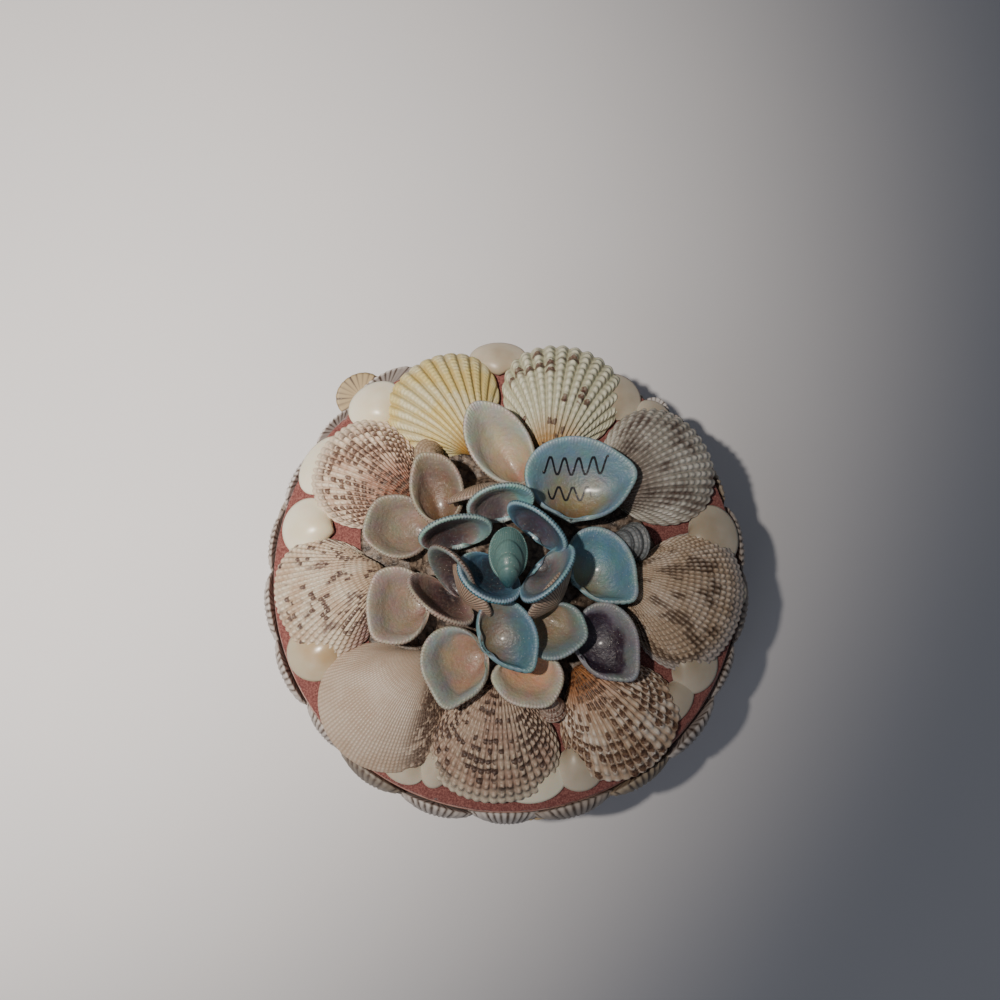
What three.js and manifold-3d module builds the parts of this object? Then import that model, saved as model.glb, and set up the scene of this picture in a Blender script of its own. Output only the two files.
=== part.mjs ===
// A round souvenir shell box with its lid on. The box and lid are card, the lid's top is red felt, nine
// large shells lie face down round it with small ones between them at the rim, and a flower of dyed
// shells is glued in the middle. Small shells cover the sides of the box and the lid.
// Millimetres and degrees, +Z up, the origin in the middle of the underside.

import * as THREE from 'three';
import { mergeVertices } from 'three/addons/utils/BufferGeometryUtils.js';
import Module from 'manifold-3d';

const wasm = await Module();
wasm.setup();

// ---------------------------------------------------------------- driving dimensions

const LID_RADIUS = 65;
const LID_BOARD = 2.6;
const LID_UNDERSIDE = 42;
const CARD = 2.2;
const SKIRT_RADIUS = 63;
const SKIRT_WALL = 1.8;
const SKIRT_DROP = 11;
const SLIDE = 0.5; // slack between the lid's skirt and the box
const GAP = 0.3; // left between pieces that touch
const FELT = 0.9;
const FELT_INSET = 0.4;
const ROUND_SEGMENTS = 32;
const GLUE_SEGMENTS = 14;
const SNAIL_SEGMENTS = 8;
const WELD_DISTANCE = 1e-4;

const BOX_RADIUS = SKIRT_RADIUS - SKIRT_WALL - SLIDE;
const LID_TOP = LID_UNDERSIDE + LID_BOARD;
const FELT_TOP = LID_TOP + GAP + FELT;
const SEAT = FELT_TOP + GAP; // the lowest that a shell on the lid may reach

const GLUE_RADIUS = 28;
const GLUE_HEIGHT = 11;
const STUB_TOP = 2; // the radius of a stub of glue where it meets a petal
const STUB_FOOT = 4; // and where it meets the felt
const STUB_SIDES = 4;

const WALL_SHARE = 0.9; // a valve's inner face, as a share of its outer one
const FOOT_SHARE = 0.9; // the glue foot under a shell laid face down, as a share of its mouth
const BEAK_REACH = 1.05; // how far behind the outline's back the hinge point lies
const TIP_SPREAD = 22; // how much of the outline a drawn-out tip takes up, in degrees
const SPREAD_REACH = 1.6; // sideways growth that opens a clear gap on a sloping wall

// ---------------------------------------------------------------- the shells and where they lie
// bearing and reach place the middle of a shell's mouth round the lid's axis, and rise is its height over
// the felt. turn swings the shell's margin away from facing straight out, lift raises that margin, and
// roll leans the shell sideways. tipAt is the angle from the margin's heading to a drawn-out tip.

const LARGE = { lift: 4, rise: 1.6, coil: 1.15, fan: 0.08, flute: 0.022 };
const LARGE_SHELLS = [
  {
    name: 'cockle_yellow',
    bearing: 110, reach: 50.5, turn: 12, wide: 33, long: 30, fan: 0.12,
    color: '#c9bb94',
  },
  { name: 'scallop_white', bearing: 72, reach: 52, turn: 8, wide: 34, long: 32, fan: 0.15, color: '#bfc1b8' },
  { name: 'cockle_grey', bearing: 34, reach: 51.5, turn: -6, wide: 35, long: 31, color: '#93857c' },
  { name: 'cockle_speckled', bearing: 351, reach: 50, turn: -8, wide: 36, long: 30, color: '#a08c74' },
  { name: 'cockle_row_spotted', bearing: 306, reach: 50.5, turn: 4, wide: 33, long: 30, color: '#a58a78' },
  { name: 'cockle_knobbly', bearing: 266, reach: 48, turn: 0, wide: 35, long: 29, color: '#a08478' },
  {
    name: 'clam_plain',
    bearing: 229, reach: 50, turn: 0, wide: 34, long: 31, fan: 0, flute: 0,
    color: '#b9b1a2',
  },
  {
    name: 'cockle_flecked',
    bearing: 189, reach: 49, turn: 14, wide: 32, long: 29, fan: 0.1,
    color: '#b5a59a',
  },
  {
    name: 'cockle_netted',
    bearing: 145, reach: 47, turn: 0, wide: 29, long: 29, fan: 0.05,
    color: '#ad958a',
  },
];

const RIM = { turn: 0, lift: 0, rise: 0.6, coil: 1.3, color: '#cfc9bc' };
const RIM_SHELLS = [
  { bearing: 92, reach: 63, wide: 17, long: 10 },
  { bearing: 58, reach: 60, wide: 16, long: 14 },
  { bearing: 46, reach: 62, wide: 12, long: 9 },
  { bearing: 9, reach: 59, wide: 17, long: 13 },
  { bearing: 354, reach: 63, wide: 10, long: 8 },
  { bearing: 332, reach: 58, wide: 15, long: 12 },
  { bearing: 321, reach: 58, wide: 14, long: 9 },
  { bearing: 290, reach: 57, wide: 13, long: 12 },
  { bearing: 277, reach: 57, wide: 18, long: 12 },
  { bearing: 251, reach: 55, wide: 9, long: 14 },
  { bearing: 243, reach: 60, wide: 12, long: 8 },
  { bearing: 204, reach: 57, wide: 16, long: 15, color: '#cdb795' },
  { bearing: 168, reach: 57, wide: 17, long: 14, color: '#d5c6ae' },
  { bearing: 150, reach: 60, wide: 19, long: 12 },
  { bearing: 128, reach: 61.5, wide: 17, long: 13 },
];

// The petals lie cup up. Each list starts with the uppermost, because a lower one is cut clear of it.
const PETAL = { lift: 12, coil: 1.5, cup: true };
const CREAM = '#b3a08d';
const SEA_BLUE = '#7fa9b4';
const OUTER_PETALS = [
  {
    name: 'petal_wide_blue',
    bearing: 49, reach: 29.5, rise: 14, turn: 32, lift: 10, wide: 29, long: 23, tip: 0.15, tipAt: -70,
    color: SEA_BLUE,
  },
  {
    name: 'petal_sky_blue',
    bearing: 357, reach: 25.5, rise: 12, turn: 33, lift: 10, wide: 22, long: 17.5, tip: 0.2, tipAt: -74,
    color: SEA_BLUE,
  },
  {
    name: 'petal_ridged_blue',
    bearing: 271, reach: 20, rise: 16, turn: 120, lift: 8, wide: 20, long: 15, tip: 0.18, tipAt: -88,
    color: SEA_BLUE,
  },
  {
    name: 'petal_narrow_cream',
    bearing: 134, reach: 27, rise: 13, turn: -32, wide: 15, long: 20,
    color: CREAM,
  },
  {
    name: 'petal_pearly_tip',
    bearing: 244, reach: 30.5, rise: 13, turn: -44, lift: 10, wide: 20, long: 18, tip: 0.25, tipAt: 56,
    color: CREAM,
  },
  {
    name: 'petal_notched_cream',
    bearing: 203, reach: 31, rise: 12, turn: -22, wide: 21, long: 17, tip: 0.07, tipAt: 48,
    color: CREAM,
  },
  {
    name: 'petal_green_cream',
    bearing: 304, reach: 23, rise: 13, turn: 8, lift: 10, wide: 17, long: 15,
    color: '#a5a890',
  },
  {
    name: 'petal_purple',
    bearing: 321, reach: 34, rise: 11, turn: 54, lift: 10, wide: 21, long: 17, tip: 0.22, tipAt: -64,
    color: '#6e5c70',
  },
  {
    name: 'petal_peach',
    bearing: 281, reach: 31.5, rise: 10, turn: -6, wide: 18.5, long: 16, tip: 0.1, tipAt: -100,
    color: CREAM,
  },
  {
    name: 'petal_long_cream',
    bearing: 93, reach: 33, rise: 11, turn: 32, wide: 17.5, long: 26, tip: 0.06, tipAt: 0,
    color: CREAM,
  },
  {
    name: 'petal_round_cream',
    bearing: 162, reach: 30.5, rise: 11, turn: 8, wide: 18, long: 18.5, tip: 0.06, tipAt: 0,
    color: CREAM,
  },
];
const HEART_PETALS = [
  {
    name: 'heart_crescent_back',
    bearing: 42, reach: 11, rise: 21, turn: 10, lift: 60, wide: 19.5, long: 14,
    color: '#5b7d8c',
  },
  {
    name: 'heart_crescent_front',
    bearing: 334, reach: 11, rise: 21, turn: -14, lift: 60, wide: 19.5, long: 14,
    color: '#6a8f9c',
  },
  {
    name: 'heart_deep_blue',
    bearing: 246, reach: 6, rise: 18, turn: 8, lift: 32, wide: 17, long: 16,
    color: '#3e7486',
  },
  {
    name: 'heart_rim_left',
    bearing: 155, reach: 14.5, rise: 19, turn: -54, lift: 52, wide: 20, long: 15,
    color: '#6d8f98',
  },
  {
    name: 'heart_rim_back',
    bearing: 95, reach: 14, rise: 19, turn: 6, lift: 48, wide: 18.5, long: 14,
    color: '#6f8d96',
  },
  {
    name: 'heart_comb',
    bearing: 197, reach: 13.5, rise: 19, turn: -72, lift: 35, roll: -35, wide: 14, long: 17,
    color: '#77666a',
  },
  {
    name: 'heart_brown',
    bearing: 214, reach: 19, rise: 17, turn: 20, lift: 40, wide: 21, long: 15,
    color: '#8a7468',
  },
];

const BUD = {
  name: 'heart_bud',
  bearing: 0, reach: 0.5, rise: 21.5, turn: 90, lift: 5, wide: 9.5, long: 16.5, coil: 1,
  color: '#557f7e',
};

const SNAILS = [
  {
    name: 'snail_tan',
    bearing: 124, reach: 38.5, rise: 2.2, lean: 20, radius: 4, height: 6.5,
    color: '#a08a68',
  },
  { name: 'snail_grey', bearing: 11, reach: 36, rise: 4.8, lean: 55, radius: 5, height: 9, color: '#6f6f6a' },
  {
    name: 'snail_spiral',
    bearing: 288, reach: 41, rise: 2.2, lean: 25, radius: 4, height: 7,
    color: '#9a7c58',
  },
];

// Rows of small shells on the sides, hinge down and margin up, each lapping over the next. The lid's row
// is uneven: its shells are largest, and have come furthest away from the wall, at the bearing BIG_SIDE.
const SIDE_COLOR = '#b9b3a4';
const SIDE_COUNT = 16;
const BIG_SIDE = 130;
const LOOSE_POWER = 8; // the higher, the fewer the shells beside BIG_SIDE that come away with it
const SIDE_OFF_WALL = 0.6;
const LID_ROW = { base: 31.7, wall: SKIRT_RADIUS, wide: 32, long: 14, flare: 15, loose: 14, uneven: 0.1 };
const UPPER_ROW = { base: 14.6, wall: BOX_RADIUS, wide: 28, long: 15.4, flare: 6, loose: 0, uneven: 0 };
const LOWER_ROW = { base: 0.8, wall: BOX_RADIUS, wide: 28, long: 16, flare: 6, loose: 0, uneven: 0 };

// ---------------------------------------------------------------- geometry helpers

const radians = THREE.MathUtils.degToRad;

// Keeps only positions, joins equal vertices and drops the triangles that this collapses.
function weld(geometry) {
  geometry.deleteAttribute('normal');
  geometry.deleteAttribute('uv');
  const merged = mergeVertices(geometry, WELD_DISTANCE);
  const index = merged.getIndex().array;
  const kept = [];
  for (let i = 0; i < index.length; i += 3) {
    const [a, b, c] = [index[i], index[i + 1], index[i + 2]];
    if (a !== b && b !== c && c !== a) kept.push(a, b, c);
  }
  merged.setIndex(kept);
  return merged;
}

function toSolid(geometry) {
  return new wasm.Manifold(new wasm.Mesh({
    numProp: 3,
    vertProperties: new Float32Array(geometry.getAttribute('position').array),
    triVerts: new Uint32Array(geometry.getIndex().array),
  }));
}

function toGeometry(solid) {
  const mesh = solid.getMesh();
  const geometry = new THREE.BufferGeometry();
  geometry.setAttribute('position', new THREE.BufferAttribute(mesh.vertProperties, 3));
  geometry.setIndex(new THREE.BufferAttribute(mesh.triVerts, 1));
  return geometry;
}

// A solid of revolution from [radius, height] points that start and end on the axis.
function turned(profile, segments = ROUND_SEGMENTS) {
  const points = profile.map(([radius, height]) => new THREE.Vector2(radius, height));
  return weld(new THREE.LatheGeometry(points, segments).rotateX(Math.PI / 2));
}

// ---------------------------------------------------------------- a bivalve's valve

// The mouth's outline in the XY plane, hinge at -Y: an ellipse, wider away from the hinge by `fan` and
// drawn out to a soft tip. A cupped shell is turned over, which mirrors the tip's angle.
function outline(shell, angle) {
  const tipAngle = radians(shell.cup ? 90 - (shell.tipAt ?? 0) : 90 + (shell.tipAt ?? 0));
  const away = THREE.MathUtils.euclideanModulo(angle - tipAngle + Math.PI, 2 * Math.PI) - Math.PI;
  const drawn = 1 + (shell.tip ?? 0) * Math.exp(-((away / radians(TIP_SPREAD)) ** 2));
  const fan = 1 + (shell.fan ?? 0) * Math.sin(angle);
  return new THREE.Vector3(
    (shell.wide / 2) * Math.cos(angle) * fan * drawn,
    (shell.long / 2) * Math.sin(angle) * drawn,
    0,
  );
}

// A bivalve grows without changing shape, turning about its hinge: the ring at growth g, from 0 at the
// beak to 1 at the margin, is the outline shrunk towards the hinge point and turned up by -ln(g) / coil.
function growthRing(shell, angle, growth) {
  const hinge = outline(shell, -Math.PI / 2).multiplyScalar(BEAK_REACH);
  const turn = -Math.log(growth) / shell.coil;
  const flute = 1 + (shell.flute ?? 0) * Math.cos((shell.columns / 2) * angle);
  const arm = outline(shell, angle).sub(hinge).multiplyScalar(growth * flute);
  return new THREE.Vector3(arm.x, arm.y * Math.cos(turn), arm.y * Math.sin(turn)).add(hinge);
}

// The ways a shell's under face is made, as growth rings from the margin inwards. `share` is their size
// across the mouth and `depth` their height, both against the outer face's, and `side` is -1 on a hollow
// shell, whose under face shrinks where its outer one grows.
const HOLLOW = { growths: [1, 0.45], share: WALL_SHARE, depth: WALL_SHARE, side: -1 };
const FOOT = { growths: [1], share: FOOT_SHARE, depth: 0, side: 1 };
const CLOSED_BUD = { growths: [0.7, 0.3], share: 1, depth: -0.6, side: 1 };
const FLAT = { growths: [] };

// A sphere's rings and columns carried onto the valve: its first pole is the beak, its last the middle of
// the under face. `spread` grows the valve on every side, to cut its neighbours clear of it: the front is
// widened and lifted, and a skirt joins its margin to the under face, which moves the other way.
function valve(shell, spread = 0) {
  const front = { share: 1, depth: 1, side: 1, shift: spread };
  const rings = shell.front.map((growth) => ({ ...front, growth }));
  if (spread) rings.push({ ...front, growth: 1, shift: -spread });
  for (const growth of shell.back.growths) rings.push({ ...shell.back, growth, shift: -spread });
  const wider = (SPREAD_REACH * spread) / (Math.min(shell.wide, shell.long) / 2);
  const point = (ring, column) => {
    const onRing = growthRing(shell, (2 * Math.PI * column) / shell.columns, ring.growth);
    const across = ring.share + ring.side * wider;
    return new THREE.Vector3(onRing.x * across, onRing.y * across, onRing.z * ring.depth + ring.shift);
  };
  const middle = (ring) => {
    const sum = new THREE.Vector3();
    for (let column = 0; column < shell.columns; column += 1) sum.add(point(ring, column));
    return sum.divideScalar(shell.columns);
  };
  const geometry = new THREE.SphereGeometry(1, shell.columns, rings.length + 1);
  const position = geometry.getAttribute('position');
  for (let i = 0; i < position.count; i += 1) {
    const row = Math.floor(i / (shell.columns + 1));
    const column = (i % (shell.columns + 1)) % shell.columns;
    const ring = rings[THREE.MathUtils.clamp(row - 1, 0, rings.length - 1)];
    const isPole = row === 0 || row === rings.length + 1;
    position.setXYZ(i, ...(isPole ? middle(ring) : point(ring, column)).toArray());
  }
  return weld(geometry);
}

// ---------------------------------------------------------------- putting pieces together

const group = new THREE.Group();
const laid = []; // grown copies of the shells laid so far, for later ones to be cut clear of

function addMesh(name, geometry, color, roughness = 0.6) {
  const material = new THREE.MeshStandardMaterial({ color, roughness, metalness: 0 });
  const mesh = new THREE.Mesh(geometry, material);
  mesh.name = name;
  group.add(mesh);
  return mesh;
}

function boxesMeet(a, b) {
  return [0, 1, 2].every((axis) => a.min[axis] < b.max[axis] && b.min[axis] < a.max[axis]);
}

// Cuts a solid clear of everything laid before it, and keeps its largest part.
function clearOfLaid(solid) {
  let cut = solid;
  for (const other of laid) {
    if (boxesMeet(cut.boundingBox(), other.boundingBox())) cut = cut.subtract(other);
  }
  return cut.decompose().reduce((largest, part) => (part.volume() > largest.volume() ? part : largest));
}

// Adds a piece that is cut clear of those before it. `build` makes its geometry in its own frame, grown
// by the spread it is given, and `place` carries it to where it lies.
function layPiece(name, build, place, color, roughness) {
  const solid = clearOfLaid(toSolid(build(0).applyMatrix4(place)));
  laid.push(toSolid(build(GAP).applyMatrix4(place)));
  const geometry = toGeometry(solid).applyMatrix4(place.clone().invert());
  addMesh(name, geometry, color, roughness).applyMatrix4(place);
}

// ---------------------------------------------------------------- laying the shells on the lid

// Where a shell lies: tilted in its own frame, swung round, and carried out along its bearing.
function pose(shell) {
  const over = (shell.roll ?? 0) + (shell.cup ? 180 : 0);
  const heading = shell.bearing + shell.turn - 90;
  const tilt = new THREE.Euler(radians(shell.lift), radians(over), radians(heading), 'ZXY');
  const bearing = radians(shell.bearing);
  const place = new THREE.Vector3(shell.reach * Math.cos(bearing), shell.reach * Math.sin(bearing), 0);
  place.z = FELT_TOP + shell.rise;
  return new THREE.Matrix4().makeRotationFromEuler(tilt).setPosition(place);
}

const LARGE_MESH = { columns: 24, front: [0.16, 0.4, 0.7, 1], back: FOOT };
const RIM_MESH = { columns: 7, front: [0.45, 1], back: FOOT };
const PETAL_MESH = { columns: 12, front: [0.42, 1], back: HOLLOW };
const BUD_MESH = { columns: 12, front: [0.3, 0.7, 1], back: CLOSED_BUD };

// A shell laid face down stands on a foot of glue, whose last ring and middle are brought to the felt.
function layShell(name, shell, roughness) {
  const place = pose(shell);
  const toLocal = place.clone().invert();
  const build = (spread) => {
    const geometry = valve(shell, spread);
    if (shell.back !== FOOT) return geometry;
    const position = geometry.applyMatrix4(place).getAttribute('position');
    const footStart = position.count - shell.columns - 1;
    for (let i = footStart; i < position.count; i += 1) position.setZ(i, SEAT - spread);
    return geometry.applyMatrix4(toLocal);
  };
  layPiece(name, build, place, shell.color, roughness);
}

// A snail's whorls from its base up, each smaller than the last: the radius and height of every bulge and
// seam, as shares of the shell's own.
const WHORLS = [[0.8, 0], [1, 0.24], [0.53, 0.48], [0.66, 0.63], [0.29, 0.78], [0.36, 0.87]];

function laySnail(snail) {
  const build = (spread) => {
    const whorls = WHORLS.map(([across, up]) => [across * snail.radius + spread, up * snail.height]);
    return turned([[0, -spread], ...whorls, [0, snail.height + spread]], SNAIL_SEGMENTS);
  };
  layPiece(snail.name, build, pose({ ...snail, turn: 0, lift: snail.lean }), snail.color);
}

layShell(BUD.name, { ...BUD_MESH, ...BUD }, 0.45);
for (const petal of HEART_PETALS) layShell(petal.name, { ...PETAL_MESH, ...PETAL, ...petal }, 0.45);
for (const petal of OUTER_PETALS) layShell(petal.name, { ...PETAL_MESH, ...PETAL, ...petal }, 0.4);
for (const snail of SNAILS) laySnail(snail);
for (const shell of LARGE_SHELLS) layShell(shell.name, { ...LARGE_MESH, ...LARGE, ...shell });
RIM_SHELLS.forEach((shell, i) => layShell(`rim_shell_${i + 1}`, { ...RIM_MESH, ...RIM, ...shell }));

// ---------------------------------------------------------------- the glue under the flower

// A mound, a quarter ellipse turned about the lid's axis.
const GLUE_STEPS = 3;
const mound = [[0, SEAT]];
for (let i = 0; i <= GLUE_STEPS; i += 1) {
  const angle = (Math.PI / 2) * (i / GLUE_STEPS);
  mound.push([GLUE_RADIUS * Math.cos(angle), SEAT + GLUE_HEIGHT * Math.sin(angle)]);
}

// A stub from the felt up to the lowest corner of a petal.
function glueStub({ name }) {
  const petal = group.getObjectByName(name);
  const position = petal.geometry.clone().applyMatrix4(petal.matrix).getAttribute('position');
  const corner = new THREE.Vector3(0, 0, Infinity);
  const other = new THREE.Vector3();
  for (let i = 0; i < position.count; i += 1) {
    other.fromBufferAttribute(position, i);
    if (other.z < corner.z) corner.copy(other);
  }
  const height = corner.z - GAP - SEAT;
  return new THREE.CylinderGeometry(STUB_TOP, STUB_FOOT, height, STUB_SIDES)
    .rotateX(Math.PI / 2)
    .translate(corner.x, corner.y, SEAT + height / 2);
}

const glue = [BUD, ...HEART_PETALS, ...OUTER_PETALS].reduce(
  (solid, petal) => solid.add(toSolid(weld(glueStub(petal)))),
  toSolid(turned(mound, GLUE_SEGMENTS)),
);
addMesh('glue_bed', toGeometry(clearOfLaid(glue)), '#6b5a4c', 0.5);

// ---------------------------------------------------------------- the card box, its lid and the felt

const BOX_TOP = LID_UNDERSIDE - GAP;
const boxProfile = [
  [0, 0],
  [BOX_RADIUS, 0],
  [BOX_RADIUS, BOX_TOP],
  [BOX_RADIUS - CARD, BOX_TOP],
  [BOX_RADIUS - CARD, CARD],
  [0, CARD],
];
addMesh('box', turned(boxProfile), '#a8584e', 0.9);

const SKIRT_BOTTOM = LID_UNDERSIDE - SKIRT_DROP;
const lidProfile = [
  [0, LID_UNDERSIDE],
  [SKIRT_RADIUS - SKIRT_WALL, LID_UNDERSIDE],
  [SKIRT_RADIUS - SKIRT_WALL, SKIRT_BOTTOM],
  [SKIRT_RADIUS, SKIRT_BOTTOM],
  [SKIRT_RADIUS, LID_UNDERSIDE],
  [LID_RADIUS, LID_UNDERSIDE],
  [LID_RADIUS, LID_TOP],
  [0, LID_TOP],
];
addMesh('lid', turned(lidProfile), '#b07a6c', 0.9);

const feltProfile = [
  [0, LID_TOP + GAP],
  [LID_RADIUS - FELT_INSET, LID_TOP + GAP],
  [LID_RADIUS - FELT_INSET, FELT_TOP],
  [0, FELT_TOP],
];
addMesh('lid_felt', turned(feltProfile), '#8c4640', 1);

// ---------------------------------------------------------------- the small shells on the sides

const SIDE_MESH = { columns: 7, front: [0.5, 1], back: FLAT, coil: 1.05, fan: 0.1 };

// One small shell stood on the wall: its back faces out, its margin up, and it leans out by its flare.
function sideShell(row, index) {
  const bearing = BIG_SIDE + (360 * index) / SIDE_COUNT;
  const nearness = Math.cos(radians(bearing - BIG_SIDE));
  const flare = radians(row.flare + row.loose * Math.max(0, nearness) ** LOOSE_POWER);
  const shell = { ...SIDE_MESH, wide: row.wide, long: row.long * (1 + row.uneven * nearness) };
  return valve(shell)
    .translate(0, shell.long / 2, 0)
    .rotateX(flare)
    .applyMatrix4(new THREE.Matrix4().makeBasis(
      new THREE.Vector3(0, 1, 0),
      new THREE.Vector3(0, 0, 1),
      new THREE.Vector3(1, 0, 0),
    ))
    .translate(row.wall + SIDE_OFF_WALL, 0, row.base)
    .rotateZ(radians(bearing));
}

// All the shells of the rows, joined into one body where they lap.
function sideShells(rows) {
  let solid = null;
  for (const row of rows) {
    for (let index = 0; index < SIDE_COUNT; index += 1) {
      const shell = toSolid(sideShell(row, index));
      solid = solid ? solid.add(shell) : shell;
    }
  }
  return toGeometry(solid);
}

addMesh('lid_side_shells', sideShells([LID_ROW]), SIDE_COLOR);
addMesh('box_side_shells', sideShells([UPPER_ROW, LOWER_ROW]), SIDE_COLOR);

export default group;
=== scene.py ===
# %% [markdown]
# # A souvenir shell box in Blender
# This lesson dresses a round trinket box: card covered in red felt, cockles laid face down round the lid,
# small white clams between them, and a flower of dyed shells glued in the middle. Nearly all of it is one
# idea, the way that a bivalve grows, so one function makes every valve. We start from the imported model,
# which fixes where every piece lies, and read the sizes from its parts' boxes.

# %% Load the frame
import functools
import math
import bpy
import numpy as np
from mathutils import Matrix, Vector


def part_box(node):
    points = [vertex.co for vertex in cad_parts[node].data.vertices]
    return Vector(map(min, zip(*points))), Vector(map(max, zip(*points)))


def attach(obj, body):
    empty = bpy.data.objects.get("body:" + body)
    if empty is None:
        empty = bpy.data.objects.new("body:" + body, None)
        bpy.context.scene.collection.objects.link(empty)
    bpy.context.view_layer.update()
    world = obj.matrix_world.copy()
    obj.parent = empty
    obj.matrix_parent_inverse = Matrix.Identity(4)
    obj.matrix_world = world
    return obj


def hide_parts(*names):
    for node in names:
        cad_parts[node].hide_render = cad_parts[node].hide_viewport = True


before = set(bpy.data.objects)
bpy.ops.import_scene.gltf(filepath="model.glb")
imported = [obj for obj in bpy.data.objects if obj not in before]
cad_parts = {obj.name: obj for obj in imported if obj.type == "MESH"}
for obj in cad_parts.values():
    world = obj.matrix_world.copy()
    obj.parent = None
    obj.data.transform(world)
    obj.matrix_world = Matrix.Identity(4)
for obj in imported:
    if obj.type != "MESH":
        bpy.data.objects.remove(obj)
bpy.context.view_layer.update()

# %% [markdown]
# The sizes are worked in millimetres and turned to metres when a mesh is written. Heights come from the
# frame: the felt's top carries every shell on the lid, so the shells' places are counted from there.

# %% Units and the heights that everything stands on
MM = 0.001  # in metres
TURN = 2 * math.pi
GAP = 0.3  # mm of air between two pieces that touch, so that their faces never coincide
LID_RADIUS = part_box("lid")[1].x / MM
LID_BOTTOM, LID_TOP = (corner.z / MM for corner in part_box("lid"))
FELT_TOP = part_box("lid_felt")[1].z / MM
FELT_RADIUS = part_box("lid_felt")[1].x / MM
BOX_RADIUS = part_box("box")[1].x / MM
BOX_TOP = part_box("box")[1].z / MM
SEAT = FELT_TOP + GAP
random = np.random.default_rng(7)
print("lid radius", round(LID_RADIUS, 1), "felt top", round(FELT_TOP, 1), "mm")

# %% [markdown]
# A surface here is a grid: rows run from a pole at the start, through rings, to a pole at the end, like the
# parallels of a globe. Closing both poles and wrapping the columns gives one closed body. The faces are
# built as whole arrays, so even fifty thousand of them take no loop.

# %% The faces of a grid of rings
def ring_faces(rings, columns, from_top=True):
    """Quads between rings and triangles to two poles, the last two vertices; rings that start at the top
    of a form go round the other way, so that every face still points outwards."""
    row, column = np.meshgrid(np.arange(rings - 1), np.arange(columns), indexing="ij")
    beside = (column + 1) % columns
    quads = np.stack([row * columns + column, row * columns + beside,
                      (row + 1) * columns + beside, (row + 1) * columns + column], -1).reshape(-1, 4)
    around = np.arange(columns)
    turned = (around + 1) % columns
    last = (rings - 1) * columns
    first_fan = np.stack([np.full(columns, rings * columns), turned, around], -1)
    last_fan = np.stack([np.full(columns, rings * columns + 1), last + around, last + turned], -1)
    fans = np.concatenate([first_fan, last_fan])
    return (quads[:, ::-1], fans[:, ::-1]) if from_top else (quads, fans)


print("3 rings of 8 columns make", *(len(faces) for faces in ring_faces(3, 8)), "quads and triangles")

# %% [markdown]
# The mesh is filled through foreach_set, which takes a whole flat array at a time. What a finish needs to
# know about the form, such as rib or groove, is a mask beside the points and becomes a vertex attribute. A
# piece stays at the origin, unturned, and takes its node's place in the frame.

# %% Write a mesh and settle the piece
made = []


def write_mesh(name, points, quads, triangles, masks, smooth=True):
    """A mesh object at the origin from points in mm, with each mask kept as a vertex attribute."""
    mesh = bpy.data.meshes.new(name)
    corners = np.concatenate([quads.ravel(), triangles.ravel()]).astype(np.int32)
    sizes = np.concatenate([np.full(len(quads), 4), np.full(len(triangles), 3)]).astype(np.int32)
    mesh.vertices.add(len(points))
    mesh.vertices.foreach_set("co", (np.asarray(points, np.float32) * MM).ravel())
    mesh.loops.add(len(corners))
    mesh.loops.foreach_set("vertex_index", corners)
    mesh.polygons.add(len(sizes))
    mesh.polygons.foreach_set("loop_start", np.concatenate([[0], np.cumsum(sizes)[:-1]]).astype(np.int32))
    mesh.polygons.foreach_set("use_smooth", np.full(len(sizes), smooth))
    mesh.update(calc_edges=True)
    for mask, values in masks.items():
        kind, field = ("FLOAT_VECTOR", "vector") if np.ndim(values) == 2 else ("FLOAT", "value")
        layer = mesh.attributes.new(mask, kind, "POINT")
        layer.data.foreach_set(field, np.asarray(values, np.float32).ravel())
    mesh.validate()
    piece = bpy.data.objects.new(name, mesh)
    bpy.context.scene.collection.objects.link(piece)
    made.append(piece)
    return piece


def closed_rings(rings):
    """Flattens rings (rows, columns, values) and adds the two poles, each the middle of its end ring."""
    poles = np.stack([rings[0].mean(0), rings[-1].mean(0)])
    return np.concatenate([rings.reshape(-1, rings.shape[-1]), poles])


def ring_body(name, rings, masks, from_top=True, smooth=True):
    """One closed body from a grid of points; a mask with fewer rows than the grid repeats its last row."""
    rows, columns = rings.shape[:2]
    kept = {}
    for mask, values in masks.items():
        values = np.concatenate([values, np.repeat(values[-1:], rows - len(values), 0)])
        kept[mask] = closed_rings(values.reshape(rows, columns, -1)).squeeze()
    return write_mesh(name, closed_rings(rings), *ring_faces(rows, columns, from_top), kept, smooth)


def settle(piece, node, *finishes):
    """Gives a piece its finishes, hangs it on the one body and hides its node's CAD part, whose place it
    takes.
    """
    for finish in finishes:
        piece.data.materials.append(finish)
    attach(piece, "root")
    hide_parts(node)


# %% [markdown]
# Colours are written as sRGB hex, as a paint chart gives them, and Blender wants linear light, so one
# function converts. A second adds one shader node with its settings and links. A third wraps a finish:
# each finish is a function that adds its pattern and gives back what the Principled shader is to take. Most
# patterns are coats, one colour laid over another where a mask is high, so that step is a function as well.

# %% Colour and node helpers
SMOOTH = {"interpolation_type": "SMOOTHSTEP"}  # Map Range from 0 below its low to 1 above its high
COLOURS = {"data_type": "RGBA", "out": 2}  # Mix with inputs 0, 6 and 7: the share, and the two colours


def linear(code):
    """sRGB hex to linear RGBA: divide by 12.92 near black, else ((c + 0.055) / 1.055) to the power 2.4."""
    srgb = [int(code[i:i + 2], 16) / 255 for i in (1, 3, 5)]
    return [c / 12.92 if c <= 0.04045 else ((c + 0.055) / 1.055) ** 2.4 for c in srgb] + [1.0]


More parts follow.
